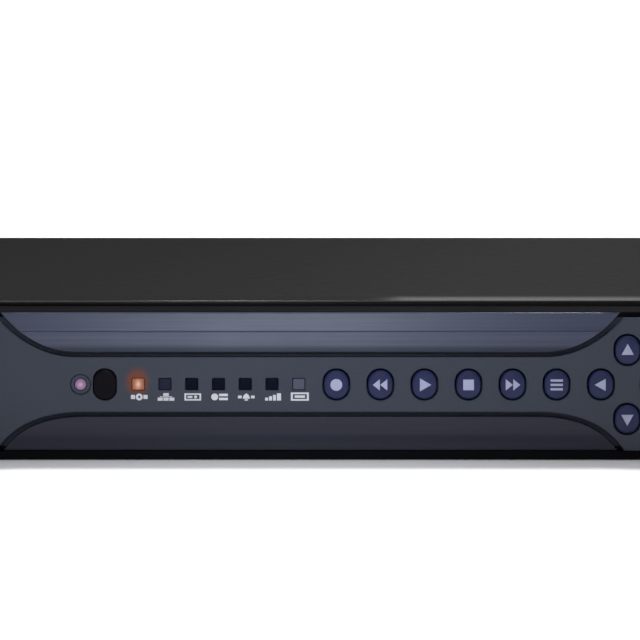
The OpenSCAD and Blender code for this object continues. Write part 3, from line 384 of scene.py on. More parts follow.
board = Mat("circuit_board", (0.01, 0.09, 0.035), 0.34, coat=0.3)
board.colour(board.voronoi(260, "DISTANCE_TO_EDGE"), [(0.02, (0.018, 0.15, 0.055)), (0.10, (0.008, 0.075, 0.028))])
board.bump(board.voronoi(260, "DISTANCE_TO_EDGE"), 0.00003, 0.5)
board.rough(board.noise(90, 3), 0.28, 0.42)
M["board"] = board.m


def paint(node, *rules):
    """Gives a CAD node its materials. Each rule is (material, test), the test taking a face's middle and normal in mm; the first rule has no test."""
    o = NODE[node]
    o.data.materials.clear()
    for mat, _ in rules:
        o.data.materials.append(mat)
    for p in o.data.polygons:
        p.material_index = 0
    if len(rules) > 1:
        for p in o.data.polygons:
            c, n = p.center * 1000, p.normal
            for i, (_, test) in enumerate(rules[1:], 1):
                if test(c, n):
                    p.material_index = i


def soften(node, width, segments=2, angle=32):
    """Rounds a CAD node's sharp edges."""
    o = NODE[node]
    for a in ("custom_normal",):
        if a in o.data.attributes:
            o.data.attributes.remove(o.data.attributes[a])
    for e in o.data.edges:
        e.use_edge_sharp = False
    for p in o.data.polygons:
        p.use_smooth = True
    w = o.modifiers.new("weld", "WELD")
    w.merge_threshold = 2e-6
    b = o.modifiers.new("round", "BEVEL")
    b.width = width * MM
    b.segments = segments
    b.limit_method = "ANGLE"
    b.angle_limit = math.radians(angle)
    b.use_clamp_overlap = False
    b.harden_normals = True
    b.miter_outer = "MITER_ARC"
    return o


def soften_weighted(node, width, heavy, light=0.25, segments=4, angle=32):
    """Rounds a CAD node's sharp edges by a light share of the width, and the edges that heavy(a, b) picks by all of it."""
    o = soften(node, width, segments, angle)
    me = o.data
    key = lambda v: tuple(round(c * 1e5) for c in v)
    seen = {}
    for p in me.polygons:
        for a, b in p.edge_keys:
            seen.setdefault(tuple(sorted((key(me.vertices[a].co), key(me.vertices[b].co)))), []).append(p.normal.copy())
    w = me.attributes.new("bevel_weight_edge", "FLOAT", "EDGE")
    for e in me.edges:
        a, b = (me.vertices[i].co for i in e.vertices)
        n = seen[tuple(sorted((key(a), key(b))))]
        if len(n) == 2 and n[0].angle(n[1], 0) > math.radians(angle):
            w.data[e.index].value = 1.0 if heavy(a * 1000, b * 1000) else 0.0 if max(a.y, b.y) * 1000 < YF + 20.01 and min(abs(a.x), abs(b.x)) * 1000 > 146 and min(a.z, b.z) * 1000 > 40 else light
    o.modifiers["round"].limit_method = "WEIGHT"
    return o


def near(pts, r, axis="y"):
    return lambda c, n: any(math.hypot(c.x - x, c.z - zz) < r for x, zz in pts)


ONE = {
    "chassis_tray": "zinc", "rear_panel": "rear", "top_cover": "cover", "front_bezel": "black", "fascia_panel": "panel",
    "upper_trim": "trim_hi", "lower_trim": "trim_lo", "ir_window": "ir", "power_lens": "pink", "status_lens_lit": "lit",
    "key_mat": "silicone", "front_board": "board", "front_leds": "ivory", "ir_receiver": "chip", "ribbon_cable": "cable_grey",
    "board_sockets": "ivory", "main_board": "board", "processor": "chip", "heat_sink": "sink", "board_chips": "chip",
    "coin_cell_holder": "chip", "coin_cell": "tin", "sata_cable": "cable_red", "drive_power_cable": "cable_yellow",
    "drive_plugs": "black", "drive_casting": "alloy", "drive_lid": "steel", "drive_board": "board", "drive_screws": "screw",
    "fan_frame": "black", "fan_rotor": "black", "fan_screws": "screw_black", "fan_cable": "cable_black", "bnc_housings": "black",
    "bnc_barrels": "nickel", "terminal_block": "green", "rocker_frame": "black", "rocker": "rocker", "feet": "rubber",
    "case_screws": "screw_black", "internal_screws": "screw",
}
for k in KEYS:
    ONE[k] = "key"
for node, mat in ONE.items():
    paint(node, (M[mat], None))
paint("status_lenses", (M["lens_dark"], None), (M["lens_blue"], lambda c, n: abs(c.x - LED_X[1]) < 3), (M["lens_milk"], lambda c, n: abs(c.x - LED_X[6]) < 3))
paint("capacitors", (M["sleeve"], None), (M["tin"], lambda c, n: c.z > MB_TOP + 10.8))
paint("bnc_inserts", (M["white"], None), (M["gold"], near(BNC, 0.72)))
paint("rca_jacks", (M["black"], None), (M["nickel"], lambda c, n: c.y > YR - 0.9), (M["rca_white"], lambda c, n: c.y > YR - 4.6 and near(RCA[1:], 3.28)(c, n)), (M["rca_red"], lambda c, n: c.y > YR - 4.6 and near(RCA[:1], 3.28)(c, n)))
for p in NODE["rca_jacks"].data.polygons:
    c = p.center * 1000
    d = min(math.hypot(c.x - x, c.z - zz) for x, zz in RCA)
    if c.y > YR - 4.4 and d < 3.28:
        p.material_index = 2 if c.z > 23 else 3
paint("vga_port", (M["nickel"], None), (M["vga_blue"], lambda c, n: c.y < YR - 1.9 or (abs(c.x - VGA[0]) < 8.1 and abs(c.z - VGA[1]) < 3.9)))
paint("hdmi_port", (M["tin"], None), (M["chip"], lambda c, n: abs(c.x - HDMI[0]) < 5.1 and MB_TOP + 2.9 < c.z < MB_TOP + 4.7 and c.y > YR - 9.96))
paint("usb_sockets", (M["tin"], None), (M["chip"], lambda c, n: c.y > 0 and abs(c.x + 91) < 6.45 and any(abs(c.z - u[1] - 1.2) < 0.95 for u in USBR) and c.y < YR - 0.5 and c.y > YR - 13),
      (M["black"], lambda c, n: c.y > 0 and abs(c.x + 91) < 6.5 and (c.z < MB_TOP + 1.06 or abs(c.z - MB_TOP - 8) < 1.06)),
      (M["ivory"], lambda c, n: c.y < 0 and abs(c.x - 127) < 5.7 and abs(c.z - ROW_Z - 1.2) < 0.95 and c.y < -105))
paint("lan_port", (M["tin"], None), (M["chip"], lambda c, n: abs(c.x - LAN[0]) < 6.02 and c.y > YR - 12.05 and c.y < YR + 0.7 and MB_TOP + 1.15 < c.z < MB_TOP + 10.05))
paint("dc_jack", (M["black"], None), (M["nickel"], near([DC], 1.03)))

soften("front_bezel", 0.3, 2)
soften_weighted("top_cover", 0.72, lambda a, b: max(a.y, b.y) < YF + 20.01 and min(a.z, b.z) > CAD_HI[2] * 1000 - 0.01)
soften("rocker", 0.3, 2)
soften("rocker_frame", 0.3, 2)
soften("feet", 0.5, 3)
soften("drive_casting", 0.6, 2)
soften("drive_plugs", 0.4, 2)
soften("terminal_block", 0.25, 2)
soften("dc_jack", 0.25, 2)
soften("bnc_housings", 0.3, 2)
soften("rear_panel", 0.1, 1)
soften("fan_frame", 0.25, 2)


# ---------------------------------------------------------------- fine pieces
def solid_from(name, bm, mat, body="recorder", smooth=False):
    me = bpy.data.meshes.new(name)
    bm.to_mesh(me)
    bm.free()
    o = bpy.data.objects.new(name, me)
    SC.collection.objects.link(o)
    me.materials.append(mat)
    for p in me.polygons:
        p.use_smooth = smooth
    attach(o, body)
    return o


def disc(cx, cz, r, n=28):
    return [(cx + r * math.cos(2 * math.pi * i / n), cz + r * math.sin(2 * math.pi * i / n)) for i in range(n)]


def rect(x0, x1, z0, z1):
    return [(x0, z0), (x1, z0), (x1, z1), (x0, z1)]


def ring(cx, cz, r0, r1, n=28, a0=0.0, a1=2 * math.pi):
    """A ring or an arc as a list of quads."""
    out = []
    for i in range(n):
        a, b = a0 + (a1 - a0) * i / n, a0 + (a1 - a0) * (i + 1) / n
        out.append([(cx + r0 * math.cos(a), cz + r0 * math.sin(a)), (cx + r1 * math.cos(a), cz + r1 * math.sin(a)), (cx + r1 * math.cos(b), cz + r1 * math.sin(b)), (cx + r0 * math.cos(b), cz + r0 * math.sin(b))])
    return out


def inlay(name, shapes, surface, thick, mat, body="recorder", cut=None, span=3.0):
    """Printed or inlaid marks: flat outlines in (x, z) laid on a surface y = surface(x, z), as thin solids that stand thick proud of it. All in mm."""
    bm = bmesh.new()
    for s in shapes:
        vs = [bm.verts.new((x, 0.0, zz)) for x, zz in s]
        bm.faces.new(vs)
    bmesh.ops.remove_doubles(bm, verts=bm.verts, dist=1e-4)
    if cut:
        cx = sum(v.co.x for v in bm.verts) / len(bm.verts)
        cz = sum(v.co.z for v in bm.verts) / len(bm.verts)
        k = int(span / cut)
        for i in range(-k, k + 1):
            for co, no in (((cx + i * cut, 0, 0), (1, 0, 0)), ((0, 0, cz + i * cut), (0, 0, 1))):
                bmesh.ops.bisect_plane(bm, geom=bm.verts[:] + bm.edges[:] + bm.faces[:], plane_co=co, plane_no=no, dist=1e-5)
    bmesh.ops.recalc_face_normals(bm, faces=bm.faces)
    for f in bm.faces:
        if f.normal.y > 0:
            f.normal_flip()
    r = bmesh.ops.extrude_face_region(bm, geom=bm.faces[:])
    top = [g for g in r["geom"] if isinstance(g, bmesh.types.BMVert)]
    top_set = set(top)
    for v in bm.verts:
        y = surface(v.co.x, v.co.z)
        v.co.y = y - thick if v in top_set else y + 0.06
    bmesh.ops.recalc_face_normals(bm, faces=bm.faces)
    bmesh.ops.scale(bm, vec=(MM, MM, MM), verts=bm.verts)
    return solid_from(name, bm, mat, body)


def tri(*pts):
    return list(pts)


# ---------------------------------------------------------------- front panel pieces with moulded edges
def area2(loop):
    return sum(a[0] * b[1] - b[0] * a[1] for a, b in zip(loop, loop[1:] + loop[:1])) / 2


def inset(loop, d):
    """The closed outline moved by d to its left, with mitred corners."""
    n, out = len(loop), []
    for i in range(n):
        a, b, c = Vector(loop[i - 1]), Vector(loop[i]), Vector(loop[(i + 1) % n])
        u, v = (b - a).normalized(), (c - b).normalized()
        nu, nv = Vector((-u.y, u.x)), Vector((-v.y, v.x))
        m = nu + nv
        m = m / max(m.dot(nu), 0.35)
        out.append((b.x + m.x * d, b.y + m.y * d))
    return out


def plate(name, outer, holes, surface, back, r, mat, body="recorder", cuts_x=(), cuts_z=(), steps=4, node=None):
    """A moulded plate: its face follows y = surface(x, z), its back is flat, and every edge of its face is rounded by r. All in mm."""
    loops = [outer if area2(outer) > 0 else outer[::-1]] + [h if area2(h) < 0 else h[::-1] for h in holes]
    bm = bmesh.new()
    rim = bm.faces.layers.int.new("rim")
    rims = []
    for loop in loops:
        rings = [(0.0, None)] + [(r * (1 - math.cos(math.pi / 2 * k / steps)), r * (1 - math.sin(math.pi / 2 * k / steps))) for k in range(steps + 1)]
        prev = None
        for off, drop in rings:
            pts = inset(loop, off) if off else loop
            vs = [bm.verts.new((x, -1000.0 if drop is None else drop, zz)) for x, zz in pts]
            if prev:
                for i in range(len(vs)):
                    j = (i + 1) % len(vs)
                    bm.faces.new((prev[i], prev[j], vs[j], vs[i]))[rim] = 0 if prev[0].co.y < -900 else 1
            else:
                rims.append(vs)
            prev = vs
        rims.append(prev)
    for k in (1, 0):
        edges = []
        for vs in rims[k::2]:
            for i in range(len(vs)):
                edges.append(bm.edges.get((vs[i], vs[(i + 1) % len(vs)])))
        bmesh.ops.triangle_fill(bm, use_beauty=True, use_dissolve=False, edges=edges)
    for x in cuts_x:
        bmesh.ops.bisect_plane(bm, geom=bm.verts[:] + bm.edges[:] + bm.faces[:], plane_co=(x, 0, 0), plane_no=(1, 0, 0), dist=1e-6)
    for zz in cuts_z:
        bmesh.ops.bisect_plane(bm, geom=bm.verts[:] + bm.edges[:] + bm.faces[:], plane_co=(0, 0, zz), plane_no=(0, 0, 1), dist=1e-6)
    for v in bm.verts:
        v.co.y = back if v.co.y < -900 else min(surface(v.co.x, v.co.z) + v.co.y, back - 0.02)
    bmesh.ops.recalc_face_normals(bm, faces=bm.faces)
    bmesh.ops.scale(bm, vec=(MM, MM, MM), verts=bm.verts)
    o = solid_from(name, bm, mat, body, True)
    o.data.polygons.foreach_set("use_smooth", [bool(d.value) for d in o.data.attributes["rim"].data])
    if node:
        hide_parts(*([node] if isinstance(node, str) else node))
    return o


def pill(w, h, r, n=10):
    """A rectangle with round corners, centred, as points."""
    out = []
    for cx, cz, a0 in ((w / 2 - r, h / 2 - r, 0), (-w / 2 + r, h / 2 - r, 90), (-w / 2 + r, -h / 2 + r, 180), (w / 2 - r, -h / 2 + r, 270)):
        for i in range(n + 1):
            a = math.radians(a0 + 90 * i / n)
            out.append((cx + r * math.cos(a), cz + r * math.sin(a)))
    return out


def plug(name, cx, cz, rings, mat, body="recorder", dome=0.0, rings_in=4, node=None, dish=0.0):
    """A key or lens built of rings, from its back to its face. Each ring is (width, height, corner radius, y). The face swells or dishes from its last ring to its middle."""
    bm = bmesh.new()
    prev = None
    first = None
    for w, h, r, y in rings:
        vs = [bm.verts.new((cx + x, y, cz + zz)) for x, zz in pill(w, h, r)]
        if prev:
            for i in range(len(vs)):
                j = (i + 1) % len(vs)
                bm.faces.new((prev[i], prev[j], vs[j], vs[i]))
        else:
            first = vs
        prev = vs
    y_edge = rings[-1][3]
    base = [(v.co.x - cx, v.co.z - cz) for v in prev]
    for k in range(1, rings_in + 1):
        f = 1 - k / rings_in
        if k < rings_in:
            vs = []
            for x, zz in base:
                vs.append(bm.verts.new((cx + x * f, y_edge - (dome - dish) * (1 - f * f), cz + zz * f)))
            for i in range(len(vs)):
                j = (i + 1) % len(vs)
                bm.faces.new((prev[i], prev[j], vs[j], vs[i]))
            prev = vs
        else:
            c = bm.verts.new((cx, y_edge - (dome - dish), cz))
            for i in range(len(prev)):
                bm.faces.new((prev[i], prev[(i + 1) % len(prev)], c))
    bm.faces.new(first[::-1])
    bmesh.ops.recalc_face_normals(bm, faces=bm.faces)
    bmesh.ops.scale(bm, vec=(MM, MM, MM), verts=bm.verts)
    o = solid_from(name, bm, mat, body, True)
    for e in o.data.edges:
        e.use_edge_sharp = False
    w = o.modifiers.new("flat_faces", "WEIGHTED_NORMAL")
    w.weight = 60
    if node:
        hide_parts(node)
    return o


GROOVE_HI, GROOVE_LO = ROW_Z + 8.6, ROW_Z - 8.7
FACE_Z0, FACE_Z1, END_Z1 = 2.7, 42.5, 41.1
TRIM_X = 1.5


def bez(a, b, c, n=30):
    return [((1 - t) ** 2 * a[0] + 2 * t * (1 - t) * b[0] + t * t * c[0], (1 - t) ** 2 * a[1] + 2 * t * (1 - t) * b[1] + t * t * c[1]) for t in (i / n for i in range(n + 1))]


def hi_edge(d):
    return bez((67.5, GROOVE_HI - d), (80.5 + 0.7 * d, GROOVE_HI - d), (91.5 + 1.5 * d, 44))


def lo_edge(d):
    return bez((65.5, GROOVE_LO + d), (82.7 + 0.7 * d, GROOVE_LO + d), (89.5 + 1.5 * d, 2.6))


def clip(path, level):
    """The path up to where it crosses the height level, from its first point."""
    out = [path[0]]
    for a, b in zip(path, path[1:]):
        if (a[1] - level) * (b[1] - level) <= 0 and a[1] != b[1]:
            t = (level - a[1]) / (b[1] - a[1])
            out.append((a[0] + (b[0] - a[0]) * t, level))
            break
        out.append(b)
    return out


def line(a, b, n):
    return [(a[0] + (b[0] - a[0]) * i / n, a[1] + (b[1] - a[1]) * i / n) for i in range(n)]


def mirror(path):
    return [(-x, zz) for x, zz in path]


def corner_y(x, zz):
    """The panel's face, which turns back at both ends."""
    t = abs(x) - 146.0
    return YF + (4 - math.sqrt(max(16 - t * t, 0.0)) if t > 0 else 0.0)


moved = lambda pts, x, zz: [(x + a, zz + b) for a, b in pts]
top = clip(hi_edge(0.65), END_Z1)
low = clip(lo_edge(0.65), FACE_Z0)
top_r, top_l = moved(top, TRIM_X, 0), moved(mirror(top), TRIM_X, 0)
low_r, low_l = moved(low, TRIM_X, 0), moved(mirror(low), TRIM_X, 0)
EX = 149.97
outer = (
    line((-EX, FACE_Z0), low_l[-1], 6)
    + low_l[::-1]
    + line(low_l[0], low_r[0], 24)[1:]
    + low_r
    + line(low_r[-1], (EX, FACE_Z0), 6)[1:]
    + line((EX, FACE_Z0), (EX, END_Z1), 6)
    + line((EX, END_Z1), top_r[-1], 6)
    + top_r[::-1]
    + line(top_r[0], top_l[0], 24)[1:]
    + top_l
    + line(top_l[-1], (-EX, END_Z1), 6)[1:]
    + line((-EX, END_Z1), (-EX, FACE_Z0), 6)
)
holes = [moved(pill(7.8, 9.1, 3.85, 12), x, zz) for x, zz in KEYS.values()]
holes += [moved(pill(3.6, 3.4, 0.3, 4), x, ROW_Z + 0.1) for x in LED_X]
holes += [moved(pill(6.8, 9.2, 3.3, 12), -57.6, ROW_Z), disc(POWER_X, ROW_Z, 2.9, 40), moved(pill(14.6, 7.2, 1.0, 6), 127, ROW_Z)]


def weld_doubles(loop):
    out = []
    for p in loop:
        if not out or math.dist(p, out[-1]) > 1e-3:
            out.append(p)
    if math.dist(out[0], out[-1]) < 1e-3:
        out.pop()
    return out


plate("front_panel", weld_doubles(outer), holes, corner_y, YP, 0.35, M["panel"], cuts_x=[s * x for s in (-1, 1) for x in (146, 146.6, 147.2, 147.8, 148.4, 148.9, 149.3)], node="fascia_panel")


def hi_face(x, zz):
    t = zz - GROOVE_HI
    pts = [(-1, YF + 0.5), (0, YF + 0.5), (6.35, YF + 0.84), (6.6, YF + 1.05), (6.85, YF + 0.88), (7.5, YF + 1.0), (11.9, YF + 2.6), (13.5, YF + 3.15)]
    for (a, ya), (b, yb) in zip(pts, pts[1:]):
        if t <= b:
            return ya + (yb - ya) * (t - a) / (b - a)
    return pts[-1][1]


def lo_face(x, zz):
    t = GROOVE_LO - zz
    pts = [(-1, YF + 0.5), (0, YF + 0.5), (5.6, YF + 0.89), (6.0, YF + 0.93), (10.6, YF + 1.45), (12, YF + 1.6)]
    for (a, ya), (b, yb) in zip(pts, pts[1:]):
        if t <= b:
            return ya + (yb - ya) * (t - a) / (b - a)
    return pts[-1][1]


t_in = clip(hi_edge(-0.65), FACE_Z1)
hi_loop = moved(weld_doubles(mirror(t_in)[::-1] + line((-67.5, t_in[0][1]), (67.5, t_in[0][1]), 24)[1:] + t_in + line((t_in[-1][0], FACE_Z1), (-t_in[-1][0], FACE_Z1), 30)[1:]), TRIM_X, 0)
plate("upper_trim_face", hi_loop, [], hi_face, YP - 0.03, 0.3, M["trim_hi"], cuts_z=[GROOVE_HI + h for h in (2.5, 5, 6.35, 6.6, 6.85, 7.5, 9, 11)], node="upper_trim")
b_in = clip(lo_edge(-0.65), FACE_Z0)
lo_loop = moved(weld_doubles(b_in[::-1] + line((65.5, b_in[0][1]), (-65.5, b_in[0][1]), 24)[1:] + mirror(b_in) + line((-b_in[-1][0], FACE_Z0), (b_in[-1][0], FACE_Z0), 30)[1:]), TRIM_X, 0)
plate("lower_trim_face", lo_loop, [], lo_face, YP - 0.03, 0.3, M["trim_lo"], cuts_z=[GROOVE_LO - h for h in (2.5, 5.6, 6.0, 8)], node="lower_trim")

YQ = YP + 2.4
YPCB = YQ + 7.5
for k, (kx, kz) in KEYS.items():
    dome = lambda w, h: YF - 1 + 26 - math.sqrt(26**2 - (w / 2) ** 2 * 0.5 - (h / 2) ** 2 * 0.5)
    rr = 0.55
    rings = [(2.2, 2.2, 1.09, YQ + 2.9), (3.2, 3.2, 1.59, YQ + 2.6), (3.2, 3.2, 1.59, YQ + 1.2), (9.2, 10.5, 4.55, YQ + 1.2), (9.4, 10.7, 4.6, YQ + 1.1), (9.4, 10.7, 4.6, YQ + 0.15), (9.2, 10.5, 4.5, YQ + 0.05), (7.0, 8.3, 3.45, YQ + 0.05)]
    for i in range(6):
        f = math.pi / 2 * i / 5
        o = rr * (1 - math.cos(f))
        w, h = 7.0 - 2 * o, 8.3 - 2 * o
        rings.append((w, h, 3.45 - o, dome(w, h) + rr * (1 - math.sin(f))))
    for o in (1.0, 1.5, 2.0, 2.5, 3.0):
        w, h = 7.0 - 2 * o, 8.3 - 2 * o
        rings.append((w, h, 3.45 - o, dome(w, h)))
    plug(k + "_cap", kx, kz, rings, M["key"], k, dome=dome(1.0, 2.3) - (YF - 1), rings_in=2, node=k)


def lens_rings(w, h, r, back, front, rim):
    out = [(w, h, r, back)]
    for i in range(5):
        f = math.pi / 2 * i / 4
        o = rim * (1 - math.cos(f))
        out.append((w - 2 * o, h - 2 * o, max(r - o, 0.02), front + rim * (1 - math.sin(f))))
    return out


for i, x in enumerate(LED_X):
    mat = M["lit"] if i == 0 else M["lens_blue"] if i == 1 else M["lens_milk"] if i == 6 else M["lens_dark"]
    front = YF - 0.3 if i == 0 else YF + 0.2
    plug("lamp_lens_%d" % (i + 1), x, ROW_Z + 0.1, lens_rings(3.4, 3.2, 0.3, YPCB - 2, front, 0.22), mat, dome=0.06, rings_in=4)
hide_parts("status_lens_lit")
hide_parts("status_lenses")
plug("ir_pane", -57.6, ROW_Z, lens_rings(6.5, 8.9, 3.15, YQ + 1.2, YF + 0.15, 0.4), M["ir"], dome=0.05, rings_in=5, node="ir_window")
plug("power_lamp", POWER_X, ROW_Z, lens_rings(3.3, 3.3, 1.64, YPCB - 2, YF + 0.1, 0.3), M["pink"], dome=0.25, rings_in=5, node="power_lens")


SYMBOL = {
    "key_record": [disc(0, 0, 1.55, 36)],
    "key_rewind": [tri((-2.0, 0), (-0.15, -1.5), (-0.15, 1.5)), tri((-0.05, 0), (1.8, -1.5), (1.8, 1.5))],
    "key_play": [tri((-1.2, -1.7), (1.8, 0), (-1.2, 1.7))],
    "key_stop": [rect(-1.4, 1.4, -1.4, 1.4)],
    "key_forward": [tri((2.0, 0), (0.15, 1.5), (0.15, -1.5)), tri((0.05, 0), (-1.8, 1.5), (-1.8, -1.5))],
    "key_menu": [rect(-1.6, 1.6, 0.85, 1.45), rect(-1.6, 1.6, -0.3, 0.3), rect(-1.6, 1.6, -1.45, -0.85)],
    "key_left": [tri((-1.7, 0), (1.2, -1.6), (1.2, 1.6))],
    "key_up": [tri((0, 1.7), (-1.6, -1.2), (1.6, -1.2))],
    "key_down": [tri((0, -1.7), (1.6, 1.2), (-1.6, 1.2))],
    "key_right": [tri((1.7, 0), (-1.2, 1.6), (-1.2, -1.6))],
}
# the key mat: a thin sheet with a dome under each key; on the real mat each dome collapses as its key goes in, but
# these domes stay as built
mat_l, mat_m, mat_r = KEYS["key_record"][0] - 5.6, KEYS["key_left"][0] - 5, KEYS["key_right"][0] + 5.5
plate("key_mat_sheet", [(mat_l, ROW_Z - 6), (mat_m, ROW_Z - 6), (mat_m, ROW_Z - 15.6), (mat_r, ROW_Z - 15.6), (mat_r, ROW_Z + 15.6), (mat_m, ROW_Z + 15.6), (mat_m, ROW_Z + 6), (mat_l, ROW_Z + 6)],
      [], lambda x, zz: YPCB - 1.0, YPCB, 0.2, M["silicone"], node="key_mat")
for k, (kx, kz) in KEYS.items():
    dome = plug(k + "_dome", kx, kz, [(7.6, 7.6, 3.79, YPCB - 1.01), (7.5, 7.5, 3.74, YPCB - 1.2), (6.3, 6.3, 3.14, YPCB - 2.0), (5.2, 5.2, 2.59, YPCB - 2.8), (4.5, 4.5, 2.24, YPCB - 3.0), (4.4, 4.4, 2.19, YPCB - 3.2), (4.4, 4.4, 2.19, YPCB - 4.3), (4.1, 4.1, 2.04, YPCB - 4.47)], M["silicone"], node="key_mat")
    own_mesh(dome)

for k, (kx, kz) in KEYS.items():
    shapes = [[(kx + x * 1.1, kz + zz * 1.1) for x, zz in s] for s in SYMBOL[k]]
    inlay(k + "_symbol", shapes, lambda x, zz, kx=kx, kz=kz: YF - 0.99 + 0.0105 * ((x - kx) ** 2 + (zz - kz) ** 2), 0.045, M["print_lav"], k, cut=0.5)

LABELS = [
    ring(0, 0, 0.35, 1.0) + [rect(-2.4, -1.2, -0.6, 0.6), rect(1.2, 2.4, -0.6, 0.6)],
    [rect(-0.8, 0.8, 0.3, 1.1), rect(-2.4, -0.95, -1.1, -0.2), rect(-0.75, 0.75, -1.1, -0.2), rect(0.95, 2.4, -1.1, -0.2), rect(-1.8, 1.8, -0.08, 0.16)],
    [rect(-2.4, 2.4, 0.6, 1.05), rect(-2.4, 2.4, -1.05, -0.6), rect(-2.4, -1.9, -0.6, 0.6), rect(1.9, 2.4, -0.6, 0.6), disc(0.8, 0, 0.45), rect(-1.5, -0.1, -0.3, 0.3)],
    [disc(-1.4, 0, 1.0), rect(-0.15, 2.4, 0.2, 0.95), rect(-0.15, 2.4, -0.95, -0.2)],
    [[(-1.1, -0.5), (1.1, -0.5), (0.75, 0.45), (0.0, 1.1), (-0.75, 0.45)], rect(-0.5, 0.5, -1.05, -0.68), rect(-2.4, -1.35, -0.4, 0.4), rect(1.35, 2.4, -0.4, 0.4)],
    [rect(-2.3, -1.4, -1.05, -0.2), rect(-1.15, -0.3, -1.05, 0.2), rect(-0.05, 0.85, -1.05, 0.6), rect(1.1, 2.3, -1.05, 1.05)],
    [rect(-2.6, 2.6, 0.7, 1.2), rect(-2.6, 2.6, -1.2, -0.7), rect(-2.6, -2.0, -0.7, 0.7), rect(2.0, 2.6, -0.7, 0.7), rect(-1.5, 1.5, -0.35, 0.35)],
]
flat_front = lambda x, zz: YF
for i, shapes in enumerate(LABELS):
    cz = 18.4 if i < 6 else 18.5
    inlay("lamp_mark_%d" % (i + 1), [[(LED_X[i] + 0.3 + x, cz + zz) for x, zz in s] for s in shapes], flat_front, 0.025, M["print_white"])

# printed mark by the memory-stick socket: a generic trident-like plug sign
usb_sign = [disc(121.6, 15.4, 0.55), rect(121.6, 126.8, 15.27, 15.53), [(126.6, 14.9), (127.8, 15.4), (126.6, 15.9)], [(122.9, 15.4), (123.9, 16.4), (125.2, 16.4), (125.2, 16.65), (123.8, 16.65), (122.5, 15.4)], rect(125.1, 125.9, 16.15, 16.95)]
inlay("stick_sign", usb_sign, flat_front, 0.025, M["print_white"])

# ---------------------------------------------------------------- rear details
DIGIT = {
    "1": [rect(0.35, 0.65, 0, 2), [(0.35, 2.0), (0.0, 1.65), (0.0, 1.35), (0.35, 1.6)]],
    "2": [rect(0, 1.1, 1.72, 2), rect(0.82, 1.1, 1.0, 1.72), rect(0, 1.1, 0.86, 1.14), rect(0, 0.28, 0.28, 0.86), rect(0, 1.1, 0, 0.28)],
    "3": [rect(0, 1.1, 1.72, 2), rect(0.82, 1.1, 0.28, 1.72), rect(0.2, 0.82, 0.86, 1.14), rect(0, 1.1, 0, 0.28)],
    "4": [rect(0, 0.28, 0.86, 2), rect(0.28, 0.82, 0.86, 1.14), rect(0.82, 1.1, 0, 2)],
    "5": [rect(0, 1.1, 1.72, 2), rect(0, 0.28, 1.14, 1.72), rect(0, 1.1, 0.86, 1.14), rect(0.82, 1.1, 0.28, 0.86), rect(0, 1.1, 0, 0.28)],
    "6": [rect(0, 1.1, 1.72, 2), rect(0, 0.28, 0.28, 1.72), rect(0.28, 1.1, 0.86, 1.14), rect(0.82, 1.1, 0.28, 0.86), rect(0, 1.1, 0, 0.28)],
    "7": [rect(0, 1.1, 1.72, 2), rect(0.82, 1.1, 0, 1.72)],
    "8": [rect(0, 1.1, 1.72, 2), rect(0, 0.28, 0.28, 1.72), rect(0.82, 1.1, 0.28, 1.72), rect(0.28, 0.82, 0.86, 1.14), rect(0, 1.1, 0, 0.28)],
}


def rear_marks(name, shapes):
    """Marks on the rear panel. x runs to the left there, so outlines are given as seen from behind."""
    bm = bmesh.new()
    for s in shapes:
        vs = [bm.verts.new((x, YR, zz)) for x, zz in s]
        bm.faces.new(vs)
    bmesh.ops.remove_doubles(bm, verts=bm.verts, dist=1e-4)
    for f in bm.faces:
        f.normal_update()
        if f.normal.y < 0:
            f.normal_flip()
    r = bmesh.ops.extrude_face_region(bm, geom=bm.faces[:])
    top = set(g for g in r["geom"] if isinstance(g, bmesh.types.BMVert))
    for v in bm.verts:
        v.co.y = YR + 0.03 if v in top else YR - 0.05
    bmesh.ops.recalc_face_normals(bm, faces=bm.faces)
    bmesh.ops.scale(bm, vec=(MM, MM, MM), verts=bm.verts)
    return solid_from(name, bm, M["rear_print"])


def frame_lines(x0, x1, z0, z1, t=0.3):
    return [rect(x0, x1, z0, z0 + t), rect(x0, x1, z1 - t, z1), rect(x0, x0 + t, z0 + t, z1 - t), rect(x1 - t, x1, z0 + t, z1 - t)]


marks = []
for i, (x, zz) in enumerate([(x, 34.0) for x in BNC_COLS] + [(x, 16.5) for x in BNC_COLS]):
    for s in DIGIT[str(i + 1)]:
        marks.append([(x + 0.55 - px * 1.0, zz - 8.75 + pz * 0.85) for px, pz in s])
rear_marks("input_numbers", marks)
rear_marks("input_frame", frame_lines(-1.2, 65.2, 6.4, 42.4))
rear_marks("output_frame", frame_lines(-17.0, -2.0, 6.4, 24.8) + frame_lines(-31.5, -17.9, 6.4, 38.2))
arrow = lambda x, zz, up: [[(x - 1.0, zz), (x + 1.0, zz), (x, zz + (1.6 if up else -1.6))], rect(x - 0.25, x + 0.25, zz - 1.4, zz) if up else rect(x - 0.25, x + 0.25, zz, zz + 1.4)]
rear_marks("signal_arrows", arrow(-9, 27.4, True) + arrow(-24, 22.0, False) + arrow(-24, 41.0, True))
net = [rect(-110.1, -107.9, 27.6, 29.2), rect(-112.9, -110.9, 24.6, 26.0), rect(-107.1, -105.1, 24.6, 26.0), rect(-109.15, -108.85, 26.7, 27.6), rect(-112.0, -106.0, 26.5, 26.75), rect(-112.05, -111.8, 26.0, 26.5), rect(-106.2, -105.95, 26.0, 26.5)]
rear_marks("network_sign", net)
rear_marks("polarity_sign", ring(-126, 24.4, 1.0, 1.3, 20, math.radians(40), math.radians(320)) + [disc(-126, 24.4, 0.42, 16), rect(-122.7, -121.2, 24.28, 24.52), rect(-130.9, -129.4, 24.28, 24.52), rect(-130.27, -130.03, 23.65, 25.15), rect(-124.7, -122.9, 24.33, 24.47), rect(-129.2, -126.5, 24.33, 24.47)])
